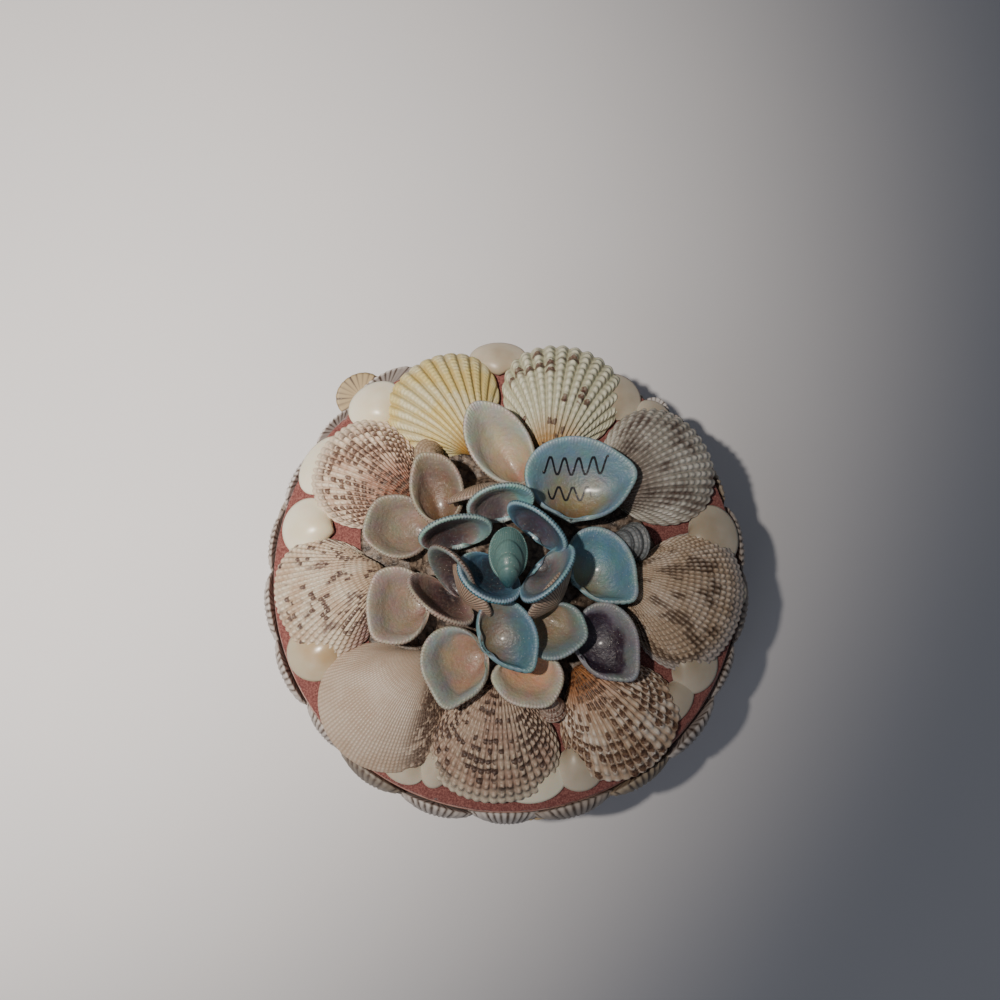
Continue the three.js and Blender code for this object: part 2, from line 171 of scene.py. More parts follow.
def add_node(tree, kind, *inputs, out=0, **settings):
    """Adds a node, sets its properties, sets or links its inputs, and gives one output, or the node if None.

    Inputs come in order, None for one left alone, or in one dict by number or name. A hex code is a colour.
    """
    node = tree.nodes.new("ShaderNode" + kind)
    for name, value in settings.items():
        setattr(node, name, value)
    by_name = inputs and isinstance(inputs[0], dict)
    for name, value in (inputs[0] if by_name else dict(enumerate(inputs))).items():
        if isinstance(value, bpy.types.NodeSocket):
            tree.links.new(value, node.inputs[name])
        elif value is not None:
            node.inputs[name].default_value = linear(value) if isinstance(value, str) else value
    return node if out is None else node.outputs[out]


def make_finish(name, pattern, *colours, **choices):
    """A material round a pattern, which gets the node adder and the piece's own coordinates in metres."""
    material = bpy.data.materials.new(name)
    material.use_nodes = True
    material.node_tree.nodes.clear()
    add = functools.partial(add_node, material.node_tree)
    shader = add("BsdfPrincipled", pattern(add, add("TexCoord", out="Object"), *colours, **choices))
    add("OutputMaterial", shader, out=None)
    return material


def lay_over(add, under, over, mask, low, high, **blend):
    """Lays one colour over another, smoothly, from nowhere at a mask's low to everywhere at its high."""
    share = add("MapRange", mask, low, high, **SMOOTH)
    return add("Mix", {0: share, 6: under, 7: over}, **COLOURS, **blend)


def set_stops(ramp, bands):
    """Gives a colour ramp its (position, hex) stops; the first and last take the two that it comes with."""
    stops = ramp.color_ramp.elements
    stops[0].position, stops[1].position = bands[0][0], bands[-1][0]
    stops[0].color, stops[1].color = linear(bands[0][1]), linear(bands[-1][1])
    for position, code in bands[1:-1]:
        stops.new(position).color = linear(code)


print("mid grey, #808080, in linear light:", round(linear("#808080")[0], 3))

# %% [markdown]
# ## How a bivalve grows
# A cockle never changes its shape: it adds to its margin and turns about its hinge. So the ring at growth
# g is the margin's outline shrunk by g towards the hinge point and turned up by -ln(g) / coil. That one
# rule gives the domed back, the beak that curls over and the flat mouth. The outline is an ellipse, a
# little fanned, with a soft tip where a shell is drawn out.

# %% The growth rule
TIP_SPREAD = math.radians(22)
BEAK_REACH = 1.05  # the hinge point lies this far out, in half lengths
SLOPE_STEP = 0.002
VALVE = {"turn": 0, "lift": 0, "roll": 0, "fan": 0, "tip": 0, "tip_at": 0, "corner": 0, "corner_at": 0,
         "cup": False, "coil": 1.15}


def outline(shell, angle):
    """Half width times cos, half length times sin, times a fan and two Gaussian tips; the hinge is at -Y."""
    drawn = 1
    for tip, at in ((shell["tip"], shell["tip_at"]), (shell["corner"], shell["corner_at"])):
        tip_angle = math.radians(90 - at if shell["cup"] else 90 + at)
        away = (angle - tip_angle + math.pi) % TURN - math.pi
        drawn = drawn + tip * np.exp(-(away / TIP_SPREAD) ** 2)
    across = shell["wide"] / 2 * np.cos(angle) * (1 + shell["fan"] * np.sin(angle)) * drawn
    return np.stack([across, shell["long"] / 2 * np.sin(angle) * drawn], -1)


def growth_surface(shell, angle, growth, shrink=1.0):
    """The valve's points, hinge + g (x, y cos t, y sin t), with each point's ray and reach from the hinge."""
    hinge = outline(shell, np.array([-math.pi / 2]))[0] * BEAK_REACH
    arm = (outline(shell, angle) - hinge) * np.asarray(shrink)[..., None]
    turn = -np.log(growth) / shell["coil"]
    x = hinge[0] + arm[..., 0] * growth
    y = hinge[1] + arm[..., 1] * growth * np.cos(turn)
    z = arm[..., 1] * growth * np.sin(turn)
    ray = np.arctan2(arm[..., 0], arm[..., 1])
    return np.stack([x, y, z], -1), ray, np.hypot(arm[..., 0], arm[..., 1]) * growth


def outward(shell, angle, growth):
    """The unit normal: the cross product of the slopes for a small step in growth and one in angle."""
    around = (growth_surface(shell, angle + SLOPE_STEP, growth)[0]
              - growth_surface(shell, angle - SLOPE_STEP, growth)[0])
    along = (growth_surface(shell, angle, growth * (1 + SLOPE_STEP))[0]
             - growth_surface(shell, angle, growth * (1 - SLOPE_STEP))[0])
    normal = np.cross(along, around)
    return normal / (np.linalg.norm(normal, axis=-1, keepdims=True) + 1e-9)


def crowded(columns, share):
    """Angles from the hinge round: t + share sin t, closest together at the far margin, where ribs end."""
    turn = TURN * np.arange(columns) / columns
    return turn - math.pi / 2 + share * np.sin(turn)


plain, _, _ = growth_surface({**VALVE, "wide": 30, "long": 30}, math.pi / 2, np.linspace(0.1, 1, 50))
print("a plain 30 mm valve is", round(plain[:, 2].max(), 1), "mm deep")

# %% [markdown]
# A finished valve is carried to its place in one step. Its bearing says where on the lid it lies, as on a
# compass laid over the middle, and its beak points to that middle unless it is turned.

# %% Carry a shell to its place
def rotation(axis, angle):
    """The matrix that turns by an angle about X, Y or Z (0, 1, 2): cosines and sines in the other two."""
    first, second = (axis + 1) % 3, (axis + 2) % 3
    matrix = np.eye(3)
    matrix[first, first] = matrix[second, second] = math.cos(angle)
    matrix[second, first], matrix[first, second] = math.sin(angle), -math.sin(angle)
    return matrix


def laid(shell, points):
    """Rolls a shell over, tilts it by its lift, swings it to its heading and carries it out."""
    bearing, heading, lift, over = (math.radians(angle) for angle in (
        shell["bearing"], shell["bearing"] + shell["turn"] - 90, shell["lift"],
        shell["roll"] + (180 if shell["cup"] else 0)))
    at = (shell["reach"] * math.cos(bearing), shell["reach"] * math.sin(bearing), FELT_TOP + shell["rise"])
    return points @ (rotation(2, heading) @ rotation(0, lift) @ rotation(1, over)).T + np.array(at)


print("a quarter turn about Z takes X to", np.round(rotation(2, TURN / 4) @ (1, 0, 0)).tolist())

# %% [markdown]
# The sculpture on a shell follows the same two parameters. Ribs are cords along the rays from the hinge,
# so their profile is a wave in the ray's angle; beads and scales repeat along each rib, so they are a wave
# in growth. Both rise in step with the spacing of the ribs, which is why a real shell looks the same at
# any size. Colour will need to know crest from groove, so the waves are kept as masks too.

# %% Ribs and beads
RIB_SPREAD = math.radians(144)
RIBS_FADE, RIBS_END = 1.1, 1.4  # radians from the middle ray: beside the hinge a shell is smooth
WORN_FROM = 0.88  # growth past which the margin is worn down
STEP_MM = 0.2  # half the step that a pause in growth leaves


def sculpture(shell, ray, reach, growth):
    """Spacing, worn down at the margin, times (1 - |2p - 1|^k over phase p, plus a bead wave)."""
    pitch = RIB_SPREAD / shell["ribs"]
    phase = ray / pitch
    crest = 1 - np.abs(2 * (phase % 1) - 1) ** shell["rib_power"]
    crest = 1 - (1 - crest) * np.clip((RIBS_END - np.abs(ray)) / (RIBS_END - RIBS_FADE), 0, 1)
    rows = shell["rows"] * growth ** shell["row_power"]
    bead = 0.5 + 0.5 * np.cos(TURN * rows)
    spacing = reach * pitch * (1 - 0.7 * np.clip((growth - WORN_FROM) / (1 - WORN_FROM), 0, 1) ** 2)
    height = spacing * (shell["rib_height"] * crest + shell["bead_height"] * bead * (0.3 + 0.7 * crest))
    for line in shell["growth_lines"]:
        height = height + STEP_MM * np.tanh((line - growth) / 0.01)
    return height, crest, np.stack([phase, rows, spacing], -1)


print("30 ribs on a 30 mm shell lie", round(30 * RIB_SPREAD / 30, 1), "mm apart at the margin")

# %% [markdown]
# A large shell lies face down. Its skin runs from the beak to the margin, round a lip as thick as the
# real shell, then to the dab of glue that it stands on, and closes on the felt. One grid carries it all,
# and the last rings take the glue's finish.

# %% A shell laid face down
FACE_DOWN = {**VALVE, "lift": 4, "rise": 1.6, "columns": 236, "rings": 96, "lip": 1.0, "ribs": 30,
             "rib_height": 0.22, "rib_power": 2.2, "bead_height": 0.08, "rows": 30, "row_power": 0.85,
             "growth_lines": (), "fan": 0.08, "scallop": 0.012}
FIRST_GROWTH = 0.05
LIP_RINGS = ((0.004, 0.35), (0.02, 0.75), (0.05, 0.95), (0.1, 0.6))  # share inwards, and lips downwards
FOOT_RINGS = (0.02, 0.12)  # share inwards of the glue's top and of its edge on the felt


def face_down_shell(name, shell):
    """The growth surface raised by its ribs, a rounded lip, and a foot drawn in to the felt."""
    growths = FIRST_GROWTH + (1 - FIRST_GROWTH) * np.linspace(0, 1, shell["rings"]) ** 0.9
    angles, growth = np.meshgrid(crowded(shell["columns"], 0.3), growths)
    _, ray, reach = growth_surface(shell, angles, growth)
    height, crest, cell = sculpture(shell, ray, reach, growth)
    base, _, _ = growth_surface(shell, angles, growth, 1 + shell["scallop"] * (crest - 0.5) * growth)
    skin = base + outward(shell, angles, growth) * height[..., None]
    inward = skin[-1].mean(0) - skin[-1]
    lip = [skin[-1] + inward * share + np.array([0, 0, -drop * shell["lip"]]) for share, drop in LIP_RINGS]
    placed = laid(shell, np.concatenate([skin, np.stack(lip)]))
    inward = placed[-1].mean(0) - placed[-1]
    glue_top, foot = (placed[-1] + inward * share for share in FOOT_RINGS)
    foot[:, 2] = SEAT
    placed = np.concatenate([placed, glue_top[None], foot[None]])
    placed[..., 2] = np.maximum(placed[..., 2], SEAT)
    piece = ring_body(name, placed, {"rib": crest, "growth": growth, "side": ray, "cell": cell})
    quads = (len(placed) - 1) * shell["columns"]
    glued = np.zeros(len(piece.data.polygons), np.int32)
    glued[quads - 2 * shell["columns"]:quads] = 1
    glued[quads + shell["columns"]:] = 1
    piece.data.polygons.foreach_set("material_index", glued)
    return piece


print("a large shell has", FACE_DOWN["rings"] + len(LIP_RINGS) + len(FOOT_RINGS), "rings")

# %% [markdown]
# ## Finishes for shell
# Shell is layered aragonite, hard as porcelain and slightly translucent: matt where its outer skin is
# worn, glossy inside. The craft shop has brushed on varnish and glitter, so tiny pale flakes catch the
# light everywhere. Flakes are cells of a Voronoi pattern, and grit is a bump of fine noise.

# %% Glitter and grit
SHELL_IOR = 1.55  # aragonite's is 1.53 to 1.68
GLITTER_MM = 0.28  # the real flakes are 0.2 mm; these are a little coarser so that they show
FLAKE_SWEEP_MM = 6  # width of the patches where the brush left more flakes
FLAKE_ROUGHNESS, FLAKE_COVER = 0.12, 0.6  # a flake is smooth, and lets some of the shell show


def glitter(add, place, colour, rough, share):
    """Voronoi cells of flake size; the few whose random colour is high turn pale and smooth."""
    flakes = add("TexVoronoi", {"Vector": place, "Scale": 1 / (GLITTER_MM * MM)}, out=None).outputs
    swept = add("TexNoise", place, None, 1 / (FLAKE_SWEEP_MM * MM), 2.0)
    lit = add("MapRange", add("SeparateColor", flakes["Color"]), 1 - share, 1.02 - share, **SMOOTH)
    for value, low, high in ((flakes["Distance"], 0.42, 0.3), (swept, 0.42, 0.6)):
        lit = add("Math", lit, add("MapRange", value, low, high, **SMOOTH), operation="MULTIPLY")
    shiny = add("Mix", {0: lit, 2: rough, 3: FLAKE_ROUGHNESS}, data_type="FLOAT")
    pale = add("Math", lit, FLAKE_COVER, operation="MULTIPLY")
    return add("Mix", {0: pale, 6: colour, 7: "#f2e8d8"}, **COLOURS), shiny


def grit(add, place, grain_mm, strength, depth_mm, height=None):
    """A bump from noise of a grain in mm, over a height of its own if one is given."""
    raised = add("TexNoise", place, None, 1 / (grain_mm * MM), 4.0)
    if height is not None:
        raised = add("Math", raised, 0.05, height, operation="MULTIPLY_ADD")
    return add("Bump", {"Strength": strength, "Distance": depth_mm * MM, "Height": raised})


print("glitter flakes of", GLITTER_MM, "mm")

# %% [markdown]
# A cockle's marks keep to its own grid: a fleck lies on one rib, between two knobs. The cell mask counts
# ribs across and rows along, so its whole part numbers a cell, for a random choice, and its fraction places
# a point inside it. A little noise first moves the grid, since no real one is ruled.

# %% The shell's own cells
CELL_WAVER = np.array([0.35, 0.9, 0])  # how far noise moves a cell, in ribs and rows
FLECK_CLOUD = (0.14, 0.22, 0)  # flecks gather in clouds of some 7 ribs by 5 rows
FLECK_RAGGED = 0.7


def uneven_cells(add):
    """The shell's own grid, made uneven by a little noise: rib number across, row number along."""
    cell = add("Attribute", attribute_name="cell", out="Vector")
    flat = add("VectorMath", cell, (0.5, 0.7, 0), operation="MULTIPLY")
    waver = add("TexNoise", flat, None, 1.0, 2.0, out="Color")
    shift = add("VectorMath", waver, CELL_WAVER, -CELL_WAVER / 2, operation="MULTIPLY_ADD")
    return add("VectorMath", cell, shift, operation="ADD"), cell


def bead_lattice(add, moved):
    """Masks: 1 along the crest of each rib, and 1 at each row's knob, both rounded off to 0 between."""
    parts = add("SeparateXYZ", moved, out=None).outputs
    folded = [add("Math", parts[axis], 0.5, operation="PINGPONG") for axis in (0, 1)]
    return (add("MapRange", folded[0], 0.02, 0.38, **SMOOTH),
            add("MapRange", folded[1], 0.45, 0.08, **SMOOTH))


def flecks(add, moved, share, patch, size):
    """A ragged mark on a rib between two knobs, in a random share of the cells where noise is high."""
    number = add("VectorMath", add("VectorMath", moved, operation="FLOOR"), (1, 1, 0), operation="MULTIPLY")
    dice = add("TexWhiteNoise", number, out="Value")
    wide = add("VectorMath", moved, FLECK_CLOUD, operation="MULTIPLY")
    cloud = add("Math", add("TexNoise", wide, None, 1.0, 1.0), patch, operation="SUBTRACT")
    luck = add("Math", cloud, 2.5, dice, operation="MULTIPLY_ADD")
    inside = add("VectorMath", moved, operation="FRACTION")
    off = add("VectorMath", inside, (0.5, 0.5, 0), operation="SUBTRACT")
    off = add("VectorMath", off, (1 / size[0], 1 / size[1], 0), operation="MULTIPLY")
    away = add("VectorMath", off, operation="LENGTH", out="Value")
    edge = add("Math", add("TexNoise", moved, None, 4.0, 2.0), FLECK_RAGGED, away, operation="MULTIPLY_ADD")
    return add("Math", add("MapRange", edge, 0.96, 0.76, **SMOOTH),
               add("MapRange", luck, 1 - share, 1.1 - share, **SMOOTH), operation="MULTIPLY")


print("clouds of flecks:", *(round(1 / share) for share in FLECK_CLOUD[:2]), "ribs and rows")

# %% [markdown]
# The worn finish goes on in coats, from the body colour up: darker grooves, partly the shell's own colour and
# partly painted shade, brown clouds, flecks, a pale margin, a stained beak, then a dusting of grit. Marks
# that a shell lacks are left out. The eye gets a chalky skin, dull and soft at the edges, with a spark of
# glitter here and there.

# %% Worn outer shell
BODY_MM, DUST_MM, GRIT_MM = 7, 0.7, 0.25  # mottle of the body colour, dust in the skin, and its grit
GLUE_LUMP_MM = 1.6
GROOVE_PAINTED_SHADE = 0.55  # how far a groove takes its darker colour, partly the shell's own and partly painted shade
KNOBS_RUBBED = 0.65  # the share of a cloud that is rubbed off the knobs
BROWN_CLOUD = (0.22, 0.2, 0)  # clouds of brown are some 5 ribs by 5 rows
FLECK_INK = 0.97


def worn_shell(add, place, crest, groove, tint=None, spot="#3e261c", spots=0.0, patch=0.5, fleck=(0.8, 0.6),
               cloud=None, beak=None, beak_reach=0.3, margin=None, side=None, fleck_side=None,
               relief=(0.12, 0.3), dip=0.5, roughness=0.5, shine=0.015):
    """Worn outer shell: grooves, knobs, flecks and clouds of brown, a stained beak, margin or side."""
    growth = add("Attribute", attribute_name="growth", out="Fac")
    ray = add("Attribute", attribute_name="side", out="Fac")
    moved, cell = uneven_cells(add)
    rib, knob = bead_lattice(add, moved)
    raised = add("Math", rib, add("Math", knob, dip, 1 - dip, operation="MULTIPLY_ADD"), operation="MULTIPLY")
    mottle = add("TexNoise", place, None, 1 / (BODY_MM * MM), 4.0)
    body = lay_over(add, crest, tint or crest, mottle, 0.4, 0.6)
    if side:
        body = lay_over(add, body, side[0], ray, *side[1:])
    # grooves darkened, partly as painted shade
    groove_shaded = add("Mix", {0: GROOVE_PAINTED_SHADE, 6: body, 7: groove}, blend_type="MULTIPLY", **COLOURS)
    colour = add("Mix", {0: raised, 6: groove_shaded, 7: body}, **COLOURS)
    if cloud:
        wide = add("VectorMath", moved, BROWN_CLOUD, operation="MULTIPLY")
        drift = add("MapRange", add("TexNoise", wide, None, 1.0, 3.0), *cloud[1:], **SMOOTH)
        in_grooves = add("Math", raised, -KNOBS_RUBBED, 1.0, operation="MULTIPLY_ADD")
        drift = add("Math", drift, in_grooves, operation="MULTIPLY")
        colour = add("Mix", {0: drift, 6: colour, 7: cloud[0]}, **COLOURS)
    if spots:
        marks = add("Math", flecks(add, moved, spots, patch, fleck), FLECK_INK, operation="MULTIPLY")
        if fleck_side:
            marks = add("Math", marks, add("MapRange", ray, *fleck_side, **SMOOTH), operation="MULTIPLY")
        colour = add("Mix", {0: marks, 6: colour, 7: spot}, **COLOURS)
    if margin:
        colour = lay_over(add, colour, margin, growth, 0.86, 0.98)
    if beak:
        colour = lay_over(add, colour, beak, growth, beak_reach, beak_reach * 0.4, blend_type="MULTIPLY")
    dusty = add("Mix", {0: 0.35, 6: colour, 7: groove}, **COLOURS)
    colour = lay_over(add, dusty, colour, add("TexNoise", place, None, 1 / (DUST_MM * MM), 3.0), 0.35, 0.7)
    colour, rough = glitter(add, place, colour, roughness, shine)
    knobs = add("Math", add("Math", knob, rib, operation="MULTIPLY"), relief[1], operation="MULTIPLY")
    wave = add("Math", rib, relief[0], knobs, operation="MULTIPLY_ADD")
    spacing = add("SeparateXYZ", cell, out=2)
    bump = grit(add, place, GRIT_MM, 0.45, 1.0, add("Math", wave, spacing, operation="MULTIPLY"))
    return {"Base Color": colour, "Roughness": rough, "Normal": bump, "IOR": SHELL_IOR,
            "Subsurface Weight": 0.05, "Subsurface Scale": 1.0 * MM}


def set_glue(add, place):
    """Set craft glue with sand and glitter in it: a dark film, mottled by noise, with glossy lumps."""
    mottle = add("TexNoise", place, None, 1 / (GLUE_LUMP_MM * MM), 5.0)
    tone = lay_over(add, "#33271f", "#7d6c5e", mottle, 0.35, 0.65)
    tone, rough = glitter(add, place, tone, 0.45, 0.08)
    return {"Base Color": tone, "Roughness": rough, "Normal": grit(add, place, 0.8, 0.6, 0.4), "IOR": 1.5}


glue_finish = make_finish("set_craft_glue", set_glue)
print("glue finish with", len(glue_finish.node_tree.nodes), "nodes")

# %% [markdown]
# ## The nine large shells
# Each is its own kind: the ribs' number and height, the beads along them and the flecks set it apart. The
# table gives the place on the lid, as a bearing round it and a reach from its middle, with the turn and
# size, then the sculpture, then the finish: its name, the colours of crest and groove, and its marks.

# %% Lay the large shells
LARGE_PLACE = ("bearing", "reach", "turn", "wide", "long")
LARGE_SHELLS = {
    # creamy and waxy, with yellow drifts and hardly a bead
    "cockle_yellow": (
        (110, 50.5, 12, 33, 30),
        dict(fan=0.12, ribs=20, rib_height=0.2, rib_power=3.5, bead_height=0.05, rows=30),
        "yellow_cockle_shell", "#ede5bc", "#b7a272",
        dict(tint="#edd990", beak="#d8af75", beak_reach=0.4, relief=(0.2, 0.06), dip=0.15)),
    # chalky white cords with a few maroon ticks, orange at the beak
    "scallop_white": (
        (72, 52, 8, 34, 32),
        dict(fan=0.15, ribs=21, rib_height=0.24, rib_power=1.8, bead_height=0.12, rows=20, scallop=0.02),
        "white_scallop_shell", "#eae8d0", "#b1ad93",
        dict(spot="#5a3028", spots=0.35, patch=0.6, fleck=(1.0, 0.9), beak="#dca468", beak_reach=0.5,
             relief=(0.2, 0.16), dip=0.3)),
    # grey-white cords over grey-brown clouds, dull and sea-worn
    "cockle_grey": (
        (34, 51.5, -6, 35, 31),
        dict(ribs=29, rib_height=0.2, bead_height=0.09, rows=22, scallop=0.02),
        "grey_cockle_shell", "#e9e6dc", "#9b9187",
        dict(cloud=("#574037", 0.46, 0.62), tint="#cfcbc0", beak="#836c61", beak_reach=0.75,
             relief=(0.14, 0.16))),
    # rows of pale knobs with brown zigzag clouds between them
    "cockle_speckled": (
        (349.8, 50, -8, 39, 31),
        dict(ribs=42, rib_height=0.18, rib_power=2.0, bead_height=0.28, rows=25, growth_lines=(0.9,)),
        "speckled_cockle_shell", "#ebdac7", "#9a8169",
        dict(cloud=("#4a3020", 0.5, 0.58), tint="#d5bea4", margin="#b9b1ac", relief=(0.12, 0.36))),
    # cream with rust-brown ticks in rows, like stitches
    "cockle_row_spotted": (
        (306, 50.5, 4, 33, 30),
        dict(ribs=31, rib_height=0.14, rib_power=2.4, bead_height=0.17, rows=15, growth_lines=(0.72,)),
        "row_spotted_cockle_shell", "#fbf3e6", "#c29d7a",
        dict(spot="#48200f", spots=0.7, fleck=(0.85, 0.85), tint="#dfcbb5", beak="#c98c5c",
             beak_reach=0.6, relief=(0.14, 0.24))),
    # big round knobs in pinkish tan, dark in the gaps
    "cockle_knobbly": (
        (266, 48, 0, 35, 29),
        dict(ribs=32, rib_height=0.1, rib_power=2.0, bead_height=0.3, rows=17, growth_lines=(0.93,)),
        "knobbly_cockle_shell", "#d2bfaa", "#9b7d6c",
        dict(spot="#35211b", spots=0.5, fleck=(1.2, 0.6), tint="#c1a693", margin="#c6bba8",
             relief=(0.05, 0.4), dip=0.6)),
    # smooth and sandy, with threads too fine to feel and one brown side
    "clam_plain": (
        (229, 50, 0, 37, 32),
        dict(fan=0, ribs=72, rib_height=0.08, rib_power=2.0, bead_height=0.08, rows=44, scallop=0.0),
        "plain_clam_shell", "#d1c0af", "#b9a593",
        dict(spot="#472d24", spots=0.8, fleck=(3.0, 1.4), fleck_side=(-0.4, -0.7), tint="#c6b19d",
             side=("#bfa38c", -0.5, -1.1), relief=(0.12, 0.2), dip=0.4, roughness=0.42)),
    # white knobs with purple-brown flecks, purple along one side
    "cockle_flecked": (
        (189, 49, 14, 33.5, 29),
        dict(fan=0.1, ribs=40, rib_height=0.18, rib_power=2.4, bead_height=0.2, rows=24),
        "flecked_cockle_shell", "#eae0cc", "#bba28d",
        dict(spot="#412526", spots=0.22, fleck=(1.1, 0.9), cloud=("#4e3235", 0.56, 0.64), tint="#d7c2a9",
             side=("#805f61", -0.6, -0.95), relief=(0.14, 0.3))),
    # a net of raised pinkish knobs with a brown dot in nearly every mesh
    "cockle_netted": (
        (145.5, 47.5, 2, 32.5, 30),
        dict(fan=0.05, ribs=36, rib_height=0.12, bead_height=0.26, rows=18),
        "netted_cockle_shell", "#f6e6d0", "#c2a590",
        dict(spot="#4a2a1e", spots=0.7, fleck=(0.95, 0.8), tint="#d8baa4", margin="#ddcdb8",
             beak="#b08070", beak_reach=0.75, relief=(0.08, 0.34))),
}
for node, (place, sizes, finish, crest, groove, marks) in LARGE_SHELLS.items():
    shell = face_down_shell(node + "_shell", {**FACE_DOWN, **dict(zip(LARGE_PLACE, place)), **sizes})
    settle(shell, node, make_finish(finish, worn_shell, crest, groove, **marks), glue_finish)
    print(node, len(shell.data.polygons), "faces")

# %% [markdown]
# ## The small clams at the rim
# Smooth surf clams fill the corners between the large shells. They are the same valve with hardly any
# ribs, only the fine lines of growth, and a porcelain gloss: three finishes, cool white, sand and peach.

# %% Lay the rim clams
RIM_CLAM = {**FACE_DOWN, "lift": 0, "rise": 0.6, "coil": 1.3, "fan": 0, "columns": 56, "rings": 20,
            "lip": 0.5, "rib_height": 0.0, "bead_height": 0.0, "scallop": 0.0}
RIM_PLACE = ("bearing", "reach", "wide", "long")
RIM_SHELLS = (
    (92, 63, 17, 10), (58, 60, 16, 14), (46, 62, 12, 9), (9, 59, 18, 14), (354, 63, 10, 8),
    (332, 58, 15, 12), (321, 58, 14, 9), (290, 57, 13, 12), (277, 57, 18, 12), (251, 55, 9, 14),
    (243, 60, 12, 8), (204, 57, 16, 15), (168, 57, 17, 14), (150, 60, 19, 12), (128, 61.5, 17, 13),
)
PEACH_CLAMS, WHITE_CLAMS = (12,), (9, 13, 14, 15)  # by number; the others are sand


def glazed_shell(add, place, pale, deep, roughness):
    """Smooth shell like glazed china: a pale body, faintly banded by growth, under a clear gloss."""
    noise = add("TexNoise", place, None, 1 / (6 * MM), 3.0)
    growth = add("Attribute", attribute_name="growth", out="Fac")
    bands = add("Math", add("Math", growth, noise, operation="ADD"), 0.5, operation="MULTIPLY")
    tone, rough = glitter(add, place, lay_over(add, deep, pale, bands, 0.35, 0.8), roughness, 0.006)
    return {"Base Color": tone, "Roughness": rough, "Normal": grit(add, place, 0.8, 0.12, 0.1),
            "IOR": SHELL_IOR, "Subsurface Weight": 0.1, "Subsurface Scale": 1.5 * MM}


white_clam = make_finish("white_surf_clam", glazed_shell, "#f4ecd8", "#e6d8b8", 0.32)
sand_clam = make_finish("sand_surf_clam", glazed_shell, "#cfc4b2", "#b5a58d", 0.38)
peach_clam = make_finish("peach_clam_nacre", glazed_shell, "#c6b9a1", "#b99d78", 0.26)
for number, place in enumerate(RIM_SHELLS, 1):
    clam = face_down_shell(f"rim_clam_{number}", {**RIM_CLAM, **dict(zip(RIM_PLACE, place))})
    tone = peach_clam if number in PEACH_CLAMS else white_clam if number in WHITE_CLAMS else sand_clam
    settle(clam, f"rim_shell_{number}", tone, glue_finish)
print(len(RIM_SHELLS), "rim clams")

# %% [markdown]
# ## The petals
# The flower's petals are the valves of small ark and heart shells, laid cup up. We look into them, so both
# faces matter: the inside is smooth and glossy, dyed or cream by how far it lies from the hinge and darker
# towards the hinge partly as painted shade, and its margin is crenulated, cut into little teeth where the
# outer ribs end. The grid runs from the beak over the ribbed back, round the toothed margin, and down the
# inside.

# %% A hollow petal
PETAL = {**VALVE, "coil": 1.5, "cup": True, "columns": 320, "rings": 7, "inner_rings": 14,
         "rib_height": 0.22, "rib_power": 2.0, "bead_height": 0.06, "rows": 24, "row_power": 1.0,
         "growth_lines": (), "teeth": 0.25, "dye_at": 0, "dye_lean": 0.0}
PETAL_PLACE = ("bearing", "reach", "rise", "turn", "lift", "wide", "long")
TOOTH = 0.9  # mm from one tooth of the margin to the next
TEETH_REACH = 0.07  # how far down the shell the teeth run, in growth
LAST_GROWTH = 0.985  # where both skins end and the margin's round begins
MARGIN_RINGS = ((1.0, 0.15), (1.006, 0.5), (1.0, 0.85))  # growth, and share of the way to the inside
BORDER_FROM, BORDER_WIDTH = 0.68, 0.18  # the thick border along the margin, in growth


def petal_shell(name, shell):
    """Outer skin, rounded margin, then an inner skin one wall inside it, thicker along the margin."""
    shell = {"ribs": round(RIB_SPREAD * shell["long"] / TOOTH), **shell}
    span = LAST_GROWTH - FIRST_GROWTH
    back = FIRST_GROWTH + span * np.linspace(0, 1, shell["rings"])
    inside = FIRST_GROWTH + span * (1 - np.linspace(0, 1, shell["inner_rings"]) ** 1.5)
    growths = np.concatenate([back, [growth for growth, _ in MARGIN_RINGS], inside])
    within = np.concatenate([0 * back, [share for _, share in MARGIN_RINGS], 0 * inside + 1])
    angles, growth = np.meshgrid(crowded(shell["columns"], 0.25), growths)
    within = within[:, None] + 0 * growth
    base, ray, reach = growth_surface(shell, angles, growth)
    height, crest, cell = sculpture(shell, ray, reach, growth)
    near_margin = np.clip((growth - (1 - TEETH_REACH)) / TEETH_REACH, 0, 1)
    border = np.clip((growth - BORDER_FROM) / BORDER_WIDTH, 0, 1)
    border = border * border * (3 - 2 * border)
    wall = 0.3 + 0.3 * np.clip(growth * 1.6, 0, 1) + 0.7 * border - 0.35 * near_margin  # in mm
    groove = shell["teeth"] * near_margin * (1 - crest)
    offset = (1 - within) * height - within * (wall + groove)
    skin = base + outward(shell, angles, np.minimum(growth, 1.0)) * offset[..., None]
    # the mask leans towards dye_at: real dye on two blue petals, painted shade on the heart's rim petals
    lean = math.radians(90 - shell["dye_at"])
    dye = np.clip(growth + shell["dye_lean"] * growth * np.cos(angles - lean), 0, 1.4)
    return ring_body(name, laid(shell, skin), {"rib": crest, "growth": growth, "inside": within,
                                               "dye": dye, "cell": cell})


print("a petal has", PETAL["columns"] * (PETAL["rings"] + len(MARGIN_RINGS) + PETAL["inner_rings"]), "points")

# %% [markdown]
# Lacquered shell: the inside is a run of colours from the hinge to the margin, read from the dye-and-shade
# mask and moved about by noise, so that no band is even. The bands run darker towards the hinge and lighter
# at the lip than the shell's own colours: partly dye, partly painted shade in the hollow and a painted
# highlight on the lip. The back keeps the shell's own grey-brown, darker in its grooves. Varnish over it all
# is a clear coat. The widest petal carries a few pen strokes: here they are plain waves in two rows, worked
# out from the distance to a sine curve, and aren't letters.

# %% The petal finish
INK_ROWS = ((19.0, 26.2, 18.0, 1.9), (17.5, 19.2, 12.0, 1.7))  # middle x, y, length, half height, in mm
INK_WAVE, PEN_LINE = 3.9, 0.62  # mm from one wave to the next, and the pen's width
DYE_MM, NACRE_MM, SPECKLE_MM = 5, 3.5, 0.9  # drifts of the dye, play of the nacre, and dust in the varnish


